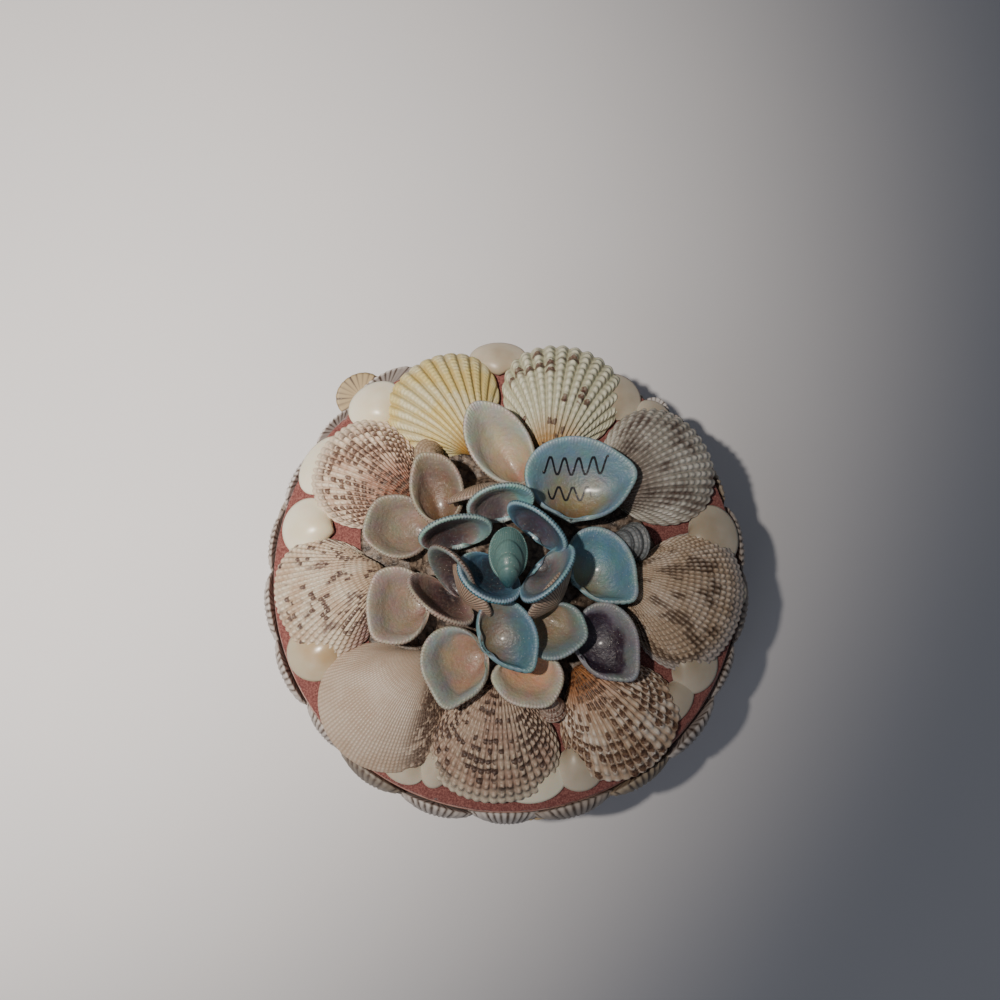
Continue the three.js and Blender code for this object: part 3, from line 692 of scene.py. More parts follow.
def pen_strokes(add, place):
    """Rows of plain waves: near the line where |y - y0 - h sin kx| / sqrt(1 + (h k cos kx)^2) is small."""
    x, y, _ = add("SeparateXYZ", place, out=None).outputs
    inked = 0.0
    for middle_x, middle_y, length, swing in INK_ROWS:
        along = add("Math", x, middle_x * MM, operation="SUBTRACT")
        phase = add("Math", along, TURN / (INK_WAVE * MM), operation="MULTIPLY")
        rise = add("Math", add("Math", phase, operation="SINE"), swing * MM, operation="MULTIPLY")
        slope = add("Math", add("Math", phase, operation="COSINE"), swing * TURN / INK_WAVE,
                    operation="MULTIPLY")
        steep = add("Math", add("Math", slope, slope, 1.0, operation="MULTIPLY_ADD"), operation="SQRT")
        off = add("Math", add("Math", y, middle_y * MM, operation="SUBTRACT"), rise, operation="SUBTRACT")
        apart = add("Math", add("Math", off, operation="ABSOLUTE"), steep, operation="DIVIDE")
        line = add("MapRange", apart, PEN_LINE * 0.6 * MM, PEN_LINE * 0.35 * MM, **SMOOTH)
        near = add("Math", add("Math", along, operation="ABSOLUTE"), length / 2 * MM, operation="LESS_THAN")
        inked = add("Math", inked, add("Math", line, near, operation="MULTIPLY"), operation="MAXIMUM")
    return inked


def lacquered_shell(add, place, back, back_groove, rim, bands, shine=0.04, ink=None):
    """Colour bands over the dye-and-shade mask plus noise inside, ribbed back outside, glitter, and a coat of
    varnish.
    """
    growth, rib, inside, dye = (add("Attribute", attribute_name=name, out="Fac")
                                for name in ("growth", "rib", "inside", "dye"))
    drift = add("Math", add("TexNoise", place, None, 1 / (DYE_MM * MM), 3.0), 0.5, operation="SUBTRACT")
    # painted shade: the deep bands by the hinge are darker than the shell's own colour
    ramp = add("ValToRGB", add("Math", drift, 0.35, dye, operation="MULTIPLY_ADD"), out=None)
    set_stops(ramp, bands)
    # the rim colour lights the lip, partly a painted highlight
    inner = lay_over(add, ramp.outputs[0], rim, growth, 0.93, 1.0)
    nacre = add("TexNoise", place, None, 1 / (NACRE_MM * MM), 3.0, out="Color")
    nacre = add("VectorMath", nacre, (2.6, 2.6, 2.6), (-0.8, -0.8, -0.8), operation="MULTIPLY_ADD")
    inner = add("Mix", {0: 0.11, 6: inner, 7: nacre}, blend_type="OVERLAY", **COLOURS)
    speckle = add("TexNoise", place, None, 1 / (SPECKLE_MM * MM), 4.0)
    inner = lay_over(add, inner, add("Mix", {0: 0.3, 6: inner, 7: back}, **COLOURS), speckle, 0.5, 0.75)
    outer = lay_over(add, back_groove, back, rib, 0.2, 0.8)
    tone = lay_over(add, outer, inner, inside, 0.35, 0.65)
    if ink:
        tone = add("Mix", {0: pen_strokes(add, place), 6: tone, 7: ink}, **COLOURS)
    tone, rough = glitter(add, place, tone, 0.45, shine)
    return {"Base Color": tone, "Roughness": rough, "Normal": grit(add, place, 1.0, 0.8, 0.3),
            "IOR": SHELL_IOR, "Coat Weight": 0.15, "Coat Roughness": 0.14, "Subsurface Weight": 0.08,
            "Subsurface Scale": 1.2 * MM}


def lay_petals(petals, **common):
    """Makes each petal of a table from its place, its shape and its finish, and gives how many."""
    for node, (place, shape, finish, *colours) in petals.items():
        petal = petal_shell(node + "_shell", {**PETAL, **common, **dict(zip(PETAL_PLACE, place)), **shape})
        settle(petal, node, make_finish(finish, lacquered_shell, *colours))
    return len(petals)


print(len(INK_ROWS), "rows of plain pen waves on the widest petal")

# %% [markdown]
# Eleven petals make the outer flower, each pressed into the glue with its cup to the sky. A row of the
# table is the petal's place, in the order of PETAL_PLACE, its drawn-out tips and where its dye ran, then its
# finish: the name, the back's crest and groove, the rim, the bands from the hinge outwards, and for some
# the share of glitter and the ink. The colours are greyed ones: gloss and glitter bring back the brightness.
# The deep bands by the hinge carry painted shade as well as the shell's own colour.

# %% The outer petals
SAND, SAND_GROOVE = "#b09c8c", "#5f4c42"
OUTER_PETALS = {
    # powder blue running to straw at the hinge, glossy as a saucer
    "petal_wide_blue": (
        (49, 29.5, 14, 32, 10, 29, 23), dict(tip=0.15, tip_at=-70),
        "pale_blue_lacquered_shell", "#7d8f92", "#43494a", "#92adb5",
        [(0.15, "#765e42"), (0.35, "#8c7d5a"), (0.5, "#858475"), (0.68, "#76878f"), (0.85, "#6c8c9b")],
        0.03, "#14141c"),
    # clear sky blue with a straw hollow
    "petal_sky_blue": (
        (357, 25.5, 12, 33, 10, 22, 17.5), dict(tip=0.2, tip_at=-74, dye_at=30, dye_lean=0.3),
        "sky_blue_lacquered_shell", "#6b8a90", "#3c4c50", "#95a9ae",
        [(0.2, "#80775d"), (0.45, "#808476"), (0.65, "#65848d"), (0.9, "#5e8797")]),
    # grey-blue, bluest at its drawn-out ridge
    "petal_ridged_blue": (
        (271, 20, 16, 120, 8, 20, 15), dict(tip=0.18, tip_at=-88, dye_at=-76, dye_lean=0.4),
        "blue_ridged_lacquered_shell", "#6b8a90", "#3c4c50", "#7898a3",
        [(0.25, "#736251"), (0.55, "#726b60"), (0.75, "#606e73"), (0.95, "#507381")]),
    # undyed, tan at the heart
    "petal_narrow_cream": (
        (134, 27, 13, -32, 12, 15, 20), dict(corner=0.12, corner_at=24),
        "orange_hearted_cream_shell", SAND, SAND_GROOVE, "#a19485",
        [(0.2, "#634935"), (0.45, "#7a5f4a"), (0.75, "#786558"), (0.95, "#86796b")]),
    # pink-cream with a cool pearly edge
    "petal_pearly_tip": (
        (244, 30.5, 13, -44, 10, 20, 18), dict(tip=0.25, tip_at=56),
        "pearly_cream_shell", SAND, SAND_GROOVE, "#a3a499",
        [(0.2, "#957663"), (0.45, "#a2836e"), (0.62, "#a28a77"), (0.76, "#8b8c86"), (0.95, "#96a09d")]),
    # undyed and warm, a little dusty
    "petal_notched_cream": (
        (203, 31, 12, -22, 12, 21, 17), dict(tip=0.14, tip_at=48, corner=0.08, corner_at=-50),
        "notched_cream_shell", SAND, SAND_GROOVE, "#b4a89c",
        [(0.2, "#7f5f54"), (0.4, "#8e7a68"), (0.7, "#968579"), (0.95, "#9f948a")]),
    # cream washed with green-blue at the rim
    "petal_green_cream": (
        (304, 23, 13, 8, 10, 17, 15), dict(corner=0.12, corner_at=30),
        "green_cream_lacquered_shell", "#7d8a84", "#43494a", "#8d9f9d",
        [(0.25, "#897359"), (0.55, "#8e7d64"), (0.72, "#828073"), (0.9, "#728484")]),
    # purple bowl with a pale lip, near black within partly as painted shade
    "petal_purple": (
        (321, 34, 11, 54, 10, 21, 17), dict(tip=0.22, tip_at=-64),
        "purple_hearted_shell", "#8d8a90", "#4a4550", "#96979a",
        [(0.2, "#2e2330"), (0.5, "#382c3a"), (0.66, "#2e1e2c"), (0.76, "#3f2f3e"), (0.86, "#77737a"),
         (0.98, "#7d7e82")]),
    # peach bowl fading to cream
    "petal_peach": (
        (281, 31.5, 10, -6, 12, 18.5, 16), dict(tip=0.1, tip_at=-100, corner=0.12, corner_at=25),
        "peach_hearted_shell", SAND, SAND_GROOVE, "#bdb6a8",
        [(0.25, "#c29175"), (0.5, "#d1a080"), (0.75, "#bea690"), (0.95, "#b8b2a4")]),
    # long and pale, faintly green at the edge
    "petal_long_cream": (
        (93, 33, 11, 32, 12, 17.5, 26), dict(tip=0.06),
        "long_cream_shell", SAND, SAND_GROOVE, "#b8b6a9",
        [(0.25, "#a2856e"), (0.5, "#b7a389"), (0.75, "#ada897"), (0.95, "#a7aba1")]),
    # plain sandy cream all over
    "petal_round_cream": (
        (162, 30.5, 11, 8, 12, 18, 18.5), dict(tip=0.1, tip_at=30, corner=0.06, corner_at=-40),
        "round_cream_shell", SAND, SAND_GROOVE, "#a1988b",
        [(0.2, "#796557"), (0.5, "#907e6f"), (0.8, "#8e8073"), (0.95, "#897f73")]),
}
print(lay_petals(OUTER_PETALS), "outer petals")

# %% [markdown]
# The heart's petals stand up steeply round the bud, dyed a deeper blue with beaded rims. They differ only
# in their sizes and in how far the dye has run. On the two rim petals the dye mask also leans, to paint
# shade on the left of the hollow.

# %% The heart petals
HEART_PETALS = {
    # slate violet bowl, blue at the rim
    "heart_crescent_back": (
        (42, 11, 20.5, 10, 70, 19.5, 14), dict(),
        "slate_blue_dyed_shell", "#5d8290", "#2c4450", "#8fb0ba",
        [(0.2, "#3e3840"), (0.5, "#585360"), (0.75, "#4c5b6a"), (0.95, "#4f7286")], 0.03),
    # pearl grey, barely dyed within
    "heart_crescent_front": (
        (334, 12, 20.5, -14, 50, 19.5, 14), dict(),
        "pearl_grey_dyed_shell", "#577c8b", "#29404d", "#87a8b3",
        [(0.2, "#453f41"), (0.45, "#756e6e"), (0.72, "#7d8589"), (0.95, "#597c90")], 0.03),
    # the deepest dye: navy at the hinge, teal at the rim
    "heart_deep_blue": (
        (234, 7.5, 19, 0, 38, 18.5, 16.5), dict(),
        "navy_teal_dyed_shell", "#487c8c", "#223943", "#97b0be",
        [(0.2, "#2a2f3a"), (0.5, "#303e4b"), (0.75, "#4a677c"), (0.95, "#64849a")], 0.05),
    # brown-grey bowl with a blue-green rim, painted shade on the left of its hollow
    "heart_rim_left": (
        (156, 14.5, 19, -54, 66, 20, 15), dict(dye_at=-101, dye_lean=0.45),
        "blue_rimmed_grey_shell", "#7d9296", "#3a4a50", "#98b3ad",
        [(0.2, "#473c3e"), (0.55, "#756260"), (0.8, "#7d7875"), (0.96, "#769190")], 0.05),
    # lilac grey, bright along the rim, painted shade on the left of its hollow
    "heart_rim_back": (
        (96, 14, 19, 6, 57, 18.5, 14), dict(dye_at=-101, dye_lean=0.45),
        "lilac_grey_shell", "#87908c", "#3c4a50", "#98b9bc",
        [(0.2, "#54484d"), (0.5, "#8d7f7d"), (0.8, "#959893"), (0.96, "#81adb1")], 0.03),
    # maroon within, near black by the hinge partly as painted shade, seen nearly on edge
    "heart_comb": (
        (198, 14.8, 18, -76, 35, 15, 18.5), dict(roll=-62),
        "maroon_hearted_shell", "#87746b", "#493935", "#7b8180",
        [(0.2, "#1a1012"), (0.55, "#271a1d"), (0.8, "#544747"), (0.95, "#5a6263")], 0.05),
    # undyed brown with a sandy rim, near black by the hinge partly as painted shade
    "heart_brown": (
        (213, 20.5, 15.5, 20, 50, 21, 15), dict(),
        "brown_hearted_shell", "#a08c7e", "#54443c", "#a99a8f",
        [(0.2, "#2c1f1f"), (0.5, "#5c4844"), (0.8, "#887069"), (0.95, "#937e76")], 0.05),
}
print(lay_petals(HEART_PETALS, teeth=0.35, columns=288), "heart petals")

# %% [markdown]
# The bud in the very middle is a whole little shell, closed: the front is a valve, and its under face is the
# same valve turned over and flattened. Its teal dye has taken evenly, so it looks like a glazed bead.

# %% The closed bud
BUD = {**PETAL, "bearing": 0, "reach": 0.5, "rise": 21.5, "turn": 90, "lift": 5, "cup": False, "wide": 10.5,
       "long": 14.5, "coil": 1.0, "columns": 160, "ribs": 60, "rib_height": 0.03, "bead_height": 0.0,
       "growth_lines": (0.4, 0.55, 0.75)}
BUD_BELLY = 0.6  # depth of the under face, in depths of the front


def closed_bud(name, shell):
    """A valve from the beak to the margin, then back under it with its height turned over and reduced."""
    front = np.linspace(FIRST_GROWTH, 1, 48)
    growths = np.concatenate([front, np.linspace(0.97, 0.1, 24)])
    angles, growth = np.meshgrid(TURN * np.arange(shell["columns"]) / shell["columns"], growths)
    base, ray, reach = growth_surface(shell, angles, growth)
    height, crest, cell = sculpture(shell, ray, reach, growth)
    upper = (base + outward(shell, angles, growth) * height[..., None])[:len(front)]
    lower = base[len(front):] * np.array([1, 1, -BUD_BELLY])
    return ring_body(name, laid(shell, np.concatenate([upper, lower])),
                     {"rib": crest, "growth": growth, "cell": cell})


bud = closed_bud("heart_bud_shell", BUD)
settle(bud, "heart_bud", make_finish("teal_dyed_shell", worn_shell, "#7a9a94", "#527577", tint="#658886",
                                     beak="#5f9ab0", beak_reach=0.4, relief=(0.03, 0.03), dip=0.2,
                                     roughness=0.38, shine=0.08))
print("the bud has", len(bud.data.polygons), "faces")

# %% [markdown]
# Behind the heart's petals more valves were pushed into the glue on edge, past upright, so that we see their
# ribbed backs. They are petals like the others, tilted beyond ninety degrees, and stand for no node.

# %% Valves on edge
ON_EDGE = {
    "edge_valve_left": (224, 12.6, 15, -8, 98, 17, 12),
    "edge_valve_right": (320, 15, 15.5, 0, 100, 18, 12),
    "edge_valve_back": (110, 18.5, 15.5, -8, 104, 20, 12),
}
# undyed sandy backs, dull against the glossy bowls
edge_finish = make_finish("ribbed_sand_shell", lacquered_shell, "#b39c8a", "#54433a", "#a89a90",
                          [(0.2, "#4a3c36"), (0.9, "#7d6c60")])
for name, place in ON_EDGE.items():
    valve = petal_shell(name, {**PETAL, "columns": 200, "inner_rings": 8, **dict(zip(PETAL_PLACE, place))})
    valve.data.materials.append(edge_finish)
    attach(valve, "root")
print(len(ON_EDGE), "valves on edge")

# %% [markdown]
# ## Three snails
# A snail's whorls wind up a cone. Rather than carry a tube along a helix, we turn a bulging profile whose
# bulges climb by one whorl in every turn: the seam between the whorls then winds round by itself.

# %% Snails
SNAILS = {
    # sandy tan and matt
    "snail_tan": (dict(bearing=124, reach=39.3, rise=3.2, lift=20, radius=4.6, height=7.5),
                  "tan_snail_shell", "#b9a48c", "#856f57", dict(shine=0.05)),
    # dull grey under a thick crust of glitter
    "snail_grey": (dict(bearing=10, reach=37.2, rise=6, lift=55, radius=5.8, height=10),
                   "glittered_grey_snail", "#8c9093", "#545655", dict(shine=0.25)),
    # pinkish, with rust spots along the whorls
    "snail_spiral": (dict(bearing=288, reach=41, rise=2.2, lift=25, radius=4, height=7),
                     "spotted_snail_shell", "#beab9f", "#876f5f",
                     dict(spot="#6e3f2f", spots=0.4, patch=0.45, shine=0.04)),
}
WHORLS = 3.2
SNAIL_COLUMNS, SNAIL_RINGS = 72, 64


def snail(name, shell):
    """Radius = cone(height) times (0.86 + 0.16 |sin|) of the whorl number, from height and turn."""
    around, rise = np.meshgrid(TURN * np.arange(SNAIL_COLUMNS) / SNAIL_COLUMNS,
                               np.linspace(0.0, 1, SNAIL_RINGS))
    whorl = WHORLS * (1 - (1 - rise) ** 1.6) - around / TURN
    bulge = np.abs(np.sin(math.pi * whorl))
    cone = np.sqrt(np.clip(1 - rise, 0, 1)) * np.clip(rise / 0.1, 0, 1) ** 0.5
    radius = shell["radius"] * np.maximum(cone * (0.86 + 0.16 * bulge), 0.02)
    points = np.stack([radius * np.cos(around), radius * np.sin(around), shell["height"] * rise], -1)
    masks = {"rib": bulge, "growth": rise, "cell": np.stack([whorl * 3, around * 3, whorl * 0 + 0.6], -1)}
    return ring_body(name, laid({**VALVE, **shell}, points), masks, from_top=False)


for node, (sizes, finish, crest, groove, marks) in SNAILS.items():
    settle(snail(node + "_shell", sizes), node, make_finish(finish, worn_shell, crest, groove, **marks))
print(len(SNAILS), "snails")

# %% [markdown]
# ## Glue
# Hot glue was heaped in the middle and the petals pressed into it. The heap is a field of height over a
# disc: a quarter ellipse, lumpy where it was dabbed.

# %% The glue bed
GLUE_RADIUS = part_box("glue_bed")[1].x / MM - 1
GLUE_HEIGHT = 9.5
FILM_RADIUS, FILM = 41.0, 0.9  # the film that ran out beyond the heap, and how thick it is
GLUE_COLUMNS = 160


def glue_heap(name):
    """Height sqrt(1 - r^2) over the heap and a thin film beyond it, plus sine lumps, closed below."""
    radii = np.concatenate([np.linspace(0.5, FILM_RADIUS, 72), [FILM_RADIUS - 0.3]])
    turn, ring = np.meshgrid(TURN * np.arange(GLUE_COLUMNS) / GLUE_COLUMNS, radii)
    reach = ring * (1 + 0.04 * np.sin(7 * turn + 1) * (ring / FILM_RADIUS) ** 4)
    x, y = reach * np.cos(turn), reach * np.sin(turn)
    lumps = np.sin(0.9 * x + 1.1 * np.sin(0.6 * y)) * np.sin(0.8 * y + 0.9 * np.sin(0.7 * x))
    heap = GLUE_HEIGHT * np.sqrt(np.clip(1 - (ring / GLUE_RADIUS) ** 2, 0, 1))
    film = FILM * np.sqrt(np.clip(1 - (ring / FILM_RADIUS) ** 8, 0, 1))
    z = SEAT + np.maximum(heap * (1 + 0.06 * lumps), film * (1 + 0.3 * lumps))
    z[-1] = SEAT
    return ring_body(name, np.stack([x, y, z], -1), {})


settle(glue_heap("glue_heap"), "glue_bed", glue_finish)
print("glue", round(GLUE_RADIUS, 1), "mm in radius and", GLUE_HEIGHT, "mm high")

# %% [markdown]
# ## The small shells on the sides
# Rows of small cockles are glued hinge down round the box and the lid, each a little askew. There are
# more than seventy, so one low grid makes the valve, closed flat where it meets the wall.

# %% One side valve
SIDE_VALVE = {**VALVE, "coil": 1.05, "fan": 0.1, "ribs": 18, "rib_height": 0.3, "rib_power": 2.0,
              "bead_height": 0.1, "rows": 9, "row_power": 1.0, "growth_lines": ()}
SIDE_COLUMNS, SIDE_RINGS = 72, 8
SIDE_FIRST_GROWTH = 0.12
LOWEST = 0.1  # mm above the table


def side_valve(wide, long, flare, height_up, wall, bearing, skew):
    """A ribbed valve stood on its hinge against the wall, leaning out by its flare, with its masks."""
    shell = {**SIDE_VALVE, "wide": wide, "long": long}
    angles, growth = np.meshgrid(TURN * np.arange(SIDE_COLUMNS) / SIDE_COLUMNS,
                                 np.linspace(SIDE_FIRST_GROWTH, 1, SIDE_RINGS))
    base, ray, reach = growth_surface(shell, angles, growth)
    height, crest, _ = sculpture(shell, ray, reach, growth)
    points = base + outward(shell, angles, growth) * height[..., None]
    closing = points[-1] * np.array([0.9, 0.9, 0])
    points = np.concatenate([points, closing[None]]) + np.array([0, long / 2, 0])
    flat = lambda values: closed_rings(np.concatenate([values, values[-1:]])[..., None])[:, 0]
    stood = closed_rings(points) @ (rotation(0, flare) @ rotation(2, skew)).T
    out, along, up = stood[:, 2] + wall, stood[:, 0], stood[:, 1] + height_up
    c, s = math.cos(bearing), math.sin(bearing)
    placed = np.stack([out * c - along * s, out * s + along * c, np.maximum(up, LOWEST)], -1)
    return placed, flat(crest), flat(growth)


print("a side valve has", SIDE_COLUMNS * (SIDE_RINGS + 1) + 2, "points")

# %% [markdown]
# The rows go evenly round the walls. Seeded random numbers vary each valve's size, lean, skew and tone, so
# that no two are alike and yet every run is the same. On the side towards the lamp, the upper left, their
# tones are painted paler as painted light, and there the lid's row has come loose and leans out.

# %% Rows of side shells
LID_ROW = dict(count=22, wide=21, long=13.5, flare=9, height_up=31.7, wall=63.4, offset=0.5, loose=16)
BOX_ROW = dict(count=22, wide=20, long=14.5, wall=61.2)
LOOSE_WALL = 61.5
LOOSE_VALVES = (  # bearing, height, flare in degrees, width, length, tone: shells that have come askew
    (129.5, 38, 68, 15, 14, 1.0), (277, 33, 40, 17, 9, 0.95), (36, 36, 52, 10, 10, 0.3),
    (42, 37, 62, 8, 9, 0.3), (48, 36, 50, 9, 10, 0.0), (152, 34, 34, 14, 10, 0.75),
    (165, 33, 36, 13, 10, 0.3),
)


def side_row(count, wide, long, flare, height_up, wall, offset, loose=0.0):
    """The valves of one row, evenly round the wall, with random skew, size and tone, painted paler at upper
    left, towards the lamp.
    """
    valves = []
    for number in range(count):
        bearing = TURN * (number + offset) / count
        near = max(0.0, math.cos(bearing - math.radians(130))) ** 8
        size = 1 + 0.12 * random.uniform(-1, 1)
        lean = math.radians(flare + loose * near + 4 * random.uniform(-1, 1))
        skew = 0.2 * random.uniform(-1, 1)
        # painted light: valves on the side towards the lamp take paler tones
        lamp_side_paling = 0.25 if math.cos(bearing - math.radians(140)) > 0.4 else 1
        valve = side_valve(wide * size, long * size, lean, height_up, wall, bearing, skew)
        valves.append((*valve, random.uniform() * lamp_side_paling))
    return valves


def side_shells(name, valves):
    """Joins the valves' closed meshes into one, each keeping its tone."""
    points, ribs, growths, tones = zip(*valves)
    starts = (np.arange(len(valves)) * len(points[0]))[:, None, None]
    quads, fans = ring_faces(SIDE_RINGS + 1, SIDE_COLUMNS)
    masks = {"rib": np.concatenate(ribs), "growth": np.concatenate(growths),
             "tone": np.repeat(tones, len(points[0]))}
    return write_mesh(name, np.concatenate(points), (quads + starts).reshape(-1, 4),
                      (fans + starts).reshape(-1, 3), masks)


print("rows of", LID_ROW["count"], "and", BOX_ROW["count"], "valves")

# %% [markdown]
# These are common beach shells, matt, with their grooves painted dark brown as painted shade between the
# ribs. One finish serves them all: each vertex carries its valve's tone, and a colour ramp turns that into
# white, sand or grey-green.

# %% Lay the side shells
def beach_shell(add, place):
    """Small beach shells, some white, some sand, some grey-green, worn matt."""
    tone, rib = (add("Attribute", attribute_name=name, out="Fac") for name in ("tone", "rib"))
    ramp = add("ValToRGB", tone, out=None)
    set_stops(ramp, [(0, "#cfcac8"), (0.25, "#b9ada4"), (0.55, "#857a6e"), (0.75, "#a89c90"), (1, "#b8a27c")])
    # painted shade: the grooves between the ribs are dark brown
    tone, rough = glitter(add, place, lay_over(add, "#5c4c42", ramp.outputs[0], rib, 0.1, 0.8), 0.5, 0.02)
    return {"Base Color": tone, "Roughness": rough, "Normal": grit(add, place, 0.3, 0.3, 0.12),
            "IOR": SHELL_IOR}


side_finish = make_finish("small_beach_shells", beach_shell)
lid_row = side_row(**LID_ROW)
lid_row += [(*side_valve(wide, long, math.radians(flare), height_up, LOOSE_WALL, math.radians(bearing), 0.1),
             tone) for bearing, height_up, flare, wide, long, tone in LOOSE_VALVES]
box_rows = side_row(flare=7, height_up=15.2, offset=0.5, **BOX_ROW)
box_rows += side_row(flare=7, height_up=0.9, offset=0.0, **BOX_ROW)
settle(side_shells("lid_side_cockles", lid_row), "lid_side_shells", side_finish)
settle(side_shells("box_side_cockles", box_rows), "box_side_shells", side_finish)
print(len(lid_row) + len(box_rows), "side shells")

# %% [markdown]
# ## Card, felt and the lid
# The box and lid are card tubes with a board across them, and a disc of felt is glued on top. All three are
# turned forms: a profile of radius and height carried round the axis, rounded at its edges.

# %% Turned forms
CARD = 2.2  # thickness of the box's wall and bottom
LID_BOARD = 2.6
SKIRT_OUT, SKIRT_IN = BOX_RADIUS + 2.3, BOX_RADIUS + 0.5
BOX_EDGE, LID_EDGE, FELT_EDGE = 0.4, 0.6, 0.3  # radii of the rounded edges
FUZZ = 0.12


def turned_body(name, profile, columns=256, fuzz=0.0):
    """Carries (radius, height) points round Z; a fuzz moves the rings by seeded noise, as fibres do."""
    profile = np.array(profile, float)
    turn, radius = np.meshgrid(TURN * np.arange(columns) / columns, profile[:, 0])
    height = np.repeat(profile[:, 1:2], columns, 1)
    if fuzz:
        radius = radius + fuzz * random.uniform(-1, 1, radius.shape) * (profile[:, :1] > 1)
        height = height + fuzz * random.uniform(-1, 0, height.shape)
    points = np.stack([radius * np.cos(turn), radius * np.sin(turn), height], -1)
    return ring_body(name, points, {}, from_top=False, smooth=bool(fuzz))


def rounded_edge(radius, low, high, bend):
    """Profile points up a wall from a rounded lower edge to a rounded upper one, each a quarter circle."""
    turn = np.radians(90 * np.arange(5) / 4)
    out, up = bend * np.sin(turn), bend * np.cos(turn)
    return ([(radius - bend + x, low + bend - y) for x, y in zip(out, up)]
            + [(radius - bend + x, high - bend + y) for x, y in zip(up, out)])


print("a wall with rounded edges takes", len(rounded_edge(BOX_RADIUS, 0, BOX_TOP, BOX_EDGE)), "points")

# %% [markdown]
# The card is covered in thin red paper, rubbed pale by handling and worn pink on the lid, which gives the
# eye a dry, flat colour. The felt is a mat of wool fibres, rough at half a millimetre: no gloss at all, but
# a velvety sheen where it turns away.

# %% Finish and turn the card and felt
RUBBED_MM, PAPER_GRAIN_MM, FIBRE_MM = 4, 0.5, 0.45


def covered_card(add, place, colour, worn):
    """Card under thin paper: a flat colour, rubbed paler in patches, with the paper's own tooth."""
    rubbed = add("TexNoise", place, None, 1 / (RUBBED_MM * MM), 5.0)
    return {"Base Color": lay_over(add, colour, worn, rubbed, 0.4, 0.62), "Roughness": 0.85,
            "Normal": grit(add, place, PAPER_GRAIN_MM, 0.3, 0.1), "IOR": 1.45}


def felted_wool(add, place, deep, pale):
    """Felt: two close reds in fine noise, a sheen of loose fibre and a coarse fibrous bump."""
    fibre = add("TexNoise", place, None, 1 / (FIBRE_MM * MM), 6.0, 0.7)
    return {"Base Color": lay_over(add, deep, pale, fibre, 0.35, 0.7), "Roughness": 0.95,
            "Normal": grit(add, place, 0.5, 0.8, 0.4), "IOR": 1.45, "Sheen Weight": 0.4,
            "Sheen Roughness": 0.5}


lid_under, felt_under = LID_TOP - LID_BOARD, LID_TOP + GAP
box_profile = [(1, 0), *rounded_edge(BOX_RADIUS, 0, BOX_TOP, BOX_EDGE), (BOX_RADIUS - CARD, BOX_TOP),
               (BOX_RADIUS - CARD, CARD), (1, CARD)]
lid_profile = [(1, lid_under), (SKIRT_IN, lid_under), (SKIRT_IN, LID_BOTTOM), (SKIRT_OUT, LID_BOTTOM),
               (SKIRT_OUT, lid_under), *rounded_edge(LID_RADIUS, lid_under, LID_TOP, LID_EDGE), (1, LID_TOP)]
felt_profile = [(1, felt_under), *rounded_edge(FELT_RADIUS, felt_under, FELT_TOP, FELT_EDGE),
                *((radius, FELT_TOP) for radius in np.arange(FELT_RADIUS - 1.2, 38, -1.0)),
                (20, FELT_TOP), (1, FELT_TOP)]
settle(turned_body("card_box", box_profile), "box",
       make_finish("red_covered_card", covered_card, "#8f3f38", "#a45248"))
settle(turned_body("card_lid", lid_profile), "lid",
       make_finish("worn_pink_card", covered_card, "#b88478", "#c8a094"))
settle(turned_body("felt_top", felt_profile, fuzz=FUZZ), "lid_felt",
       make_finish("red_wool_felt", felted_wool, "#6e3a38", "#a87068"))
print("the lid slides over the box with", round(SKIRT_IN - BOX_RADIUS, 1), "mm of play")

# %% [markdown]
# ## Table, light and camera
# The box stands on a plain pale table, a painted board whose faint mottle keeps it from looking like paper.

# %% The table
TABLE_SIZE = 3.0


def painted_board(add, place):
    """Painted board: near white, with the faintest mottle."""
    noise = add("TexNoise", place, None, 1 / (60 * MM), 4.0)
    return {"Base Color": add("Mix", {0: noise, 6: "#e6e5e9", 7: "#eceaec"}, **COLOURS), "Roughness": 0.6,
            "IOR": 1.45}


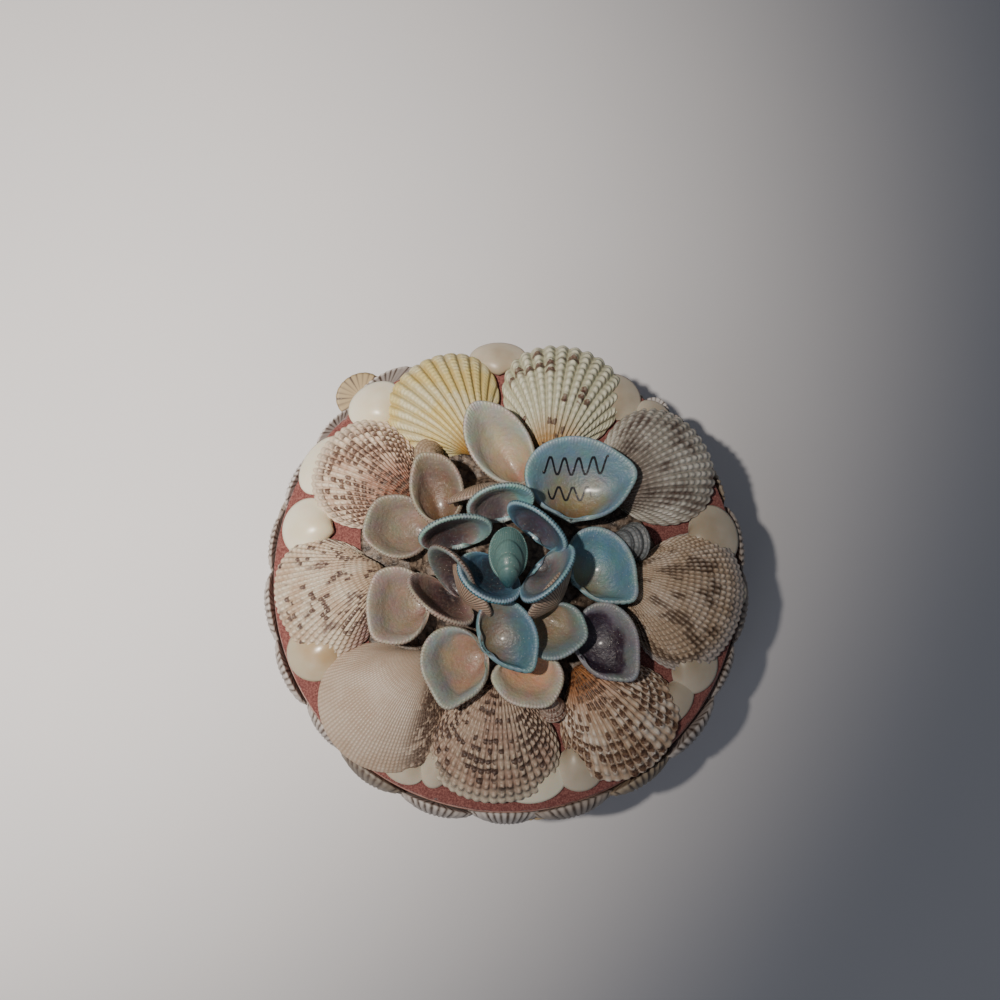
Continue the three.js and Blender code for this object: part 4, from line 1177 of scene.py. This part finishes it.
bpy.ops.mesh.primitive_plane_add(size=TABLE_SIZE, location=(0, 0, 0))
table = bpy.context.object
table.name = "table"
table.data.materials.append(make_finish("pale_painted_board", painted_board))
print("table", TABLE_SIZE, "m across")

# %% [markdown]
# One small bright lamp high on the left throws the hard shadow to the right, a large dim panel fills it,
# and a grey-blue room gives the varnish something to reflect. The camera looks down from a little in
# front, close enough that the flower, which stands higher, looms over the rim.

# %% Lights and the view
def aimed(name, lamp, place, target):
    """Puts a lamp at its place, turned to look at its target."""
    holder = bpy.data.objects.new(name, lamp)
    holder.location = place
    aim = np.array(target) - np.array(place)
    holder.rotation_euler = (math.atan2(math.hypot(aim[0], aim[1]), -aim[2]), 0,
                             math.atan2(aim[0], -aim[1]) + math.pi)
    bpy.context.scene.collection.objects.link(holder)


key = bpy.data.lights.new("key_spot", "SPOT")
key.energy, key.color = 20, linear("#fff6ea")[:3]
key.spot_size, key.spot_blend, key.shadow_soft_size = math.radians(80.5), 1.0, 0.011
aimed("key_spot", key, (-0.188, -0.05, 0.55), (-0.243, 0.12, 0))
fill = bpy.data.lights.new("fill_panel", "AREA")
fill.energy, fill.size, fill.color = 0.35, 0.25, linear("#e9eefb")[:3]
aimed("fill_panel", fill, (-0.3, -0.5, 0.6), (0, 0, 0))
world = bpy.data.worlds.new("soft_room")
bpy.context.scene.world = world
world.use_nodes = True
world.node_tree.nodes["Background"].inputs[0].default_value = linear("#b9bfcb")
world.node_tree.nodes["Background"].inputs[1].default_value = 0.18

camera = bpy.data.cameras.new("view_from_above")
camera.lens, camera.sensor_width, camera.clip_start = 35, 36, 0.01
viewer = bpy.data.objects.new("view_from_above", camera)
viewer.location = (-1.6 * MM, -51.7 * MM, 312.7 * MM)
viewer.rotation_euler = (math.radians(15), 0, 0)
bpy.context.scene.collection.objects.link(viewer)
bpy.context.scene.camera = viewer
print("camera", round(viewer.location.z / MM), "mm above the table")

# %% [markdown]
# Last, the pieces and their triangles are counted.

# %% Count the pieces
print(len(made), "pieces,", sum(len(piece.data.loops) - 2 * len(piece.data.polygons) for piece in made),
      "triangles in all")
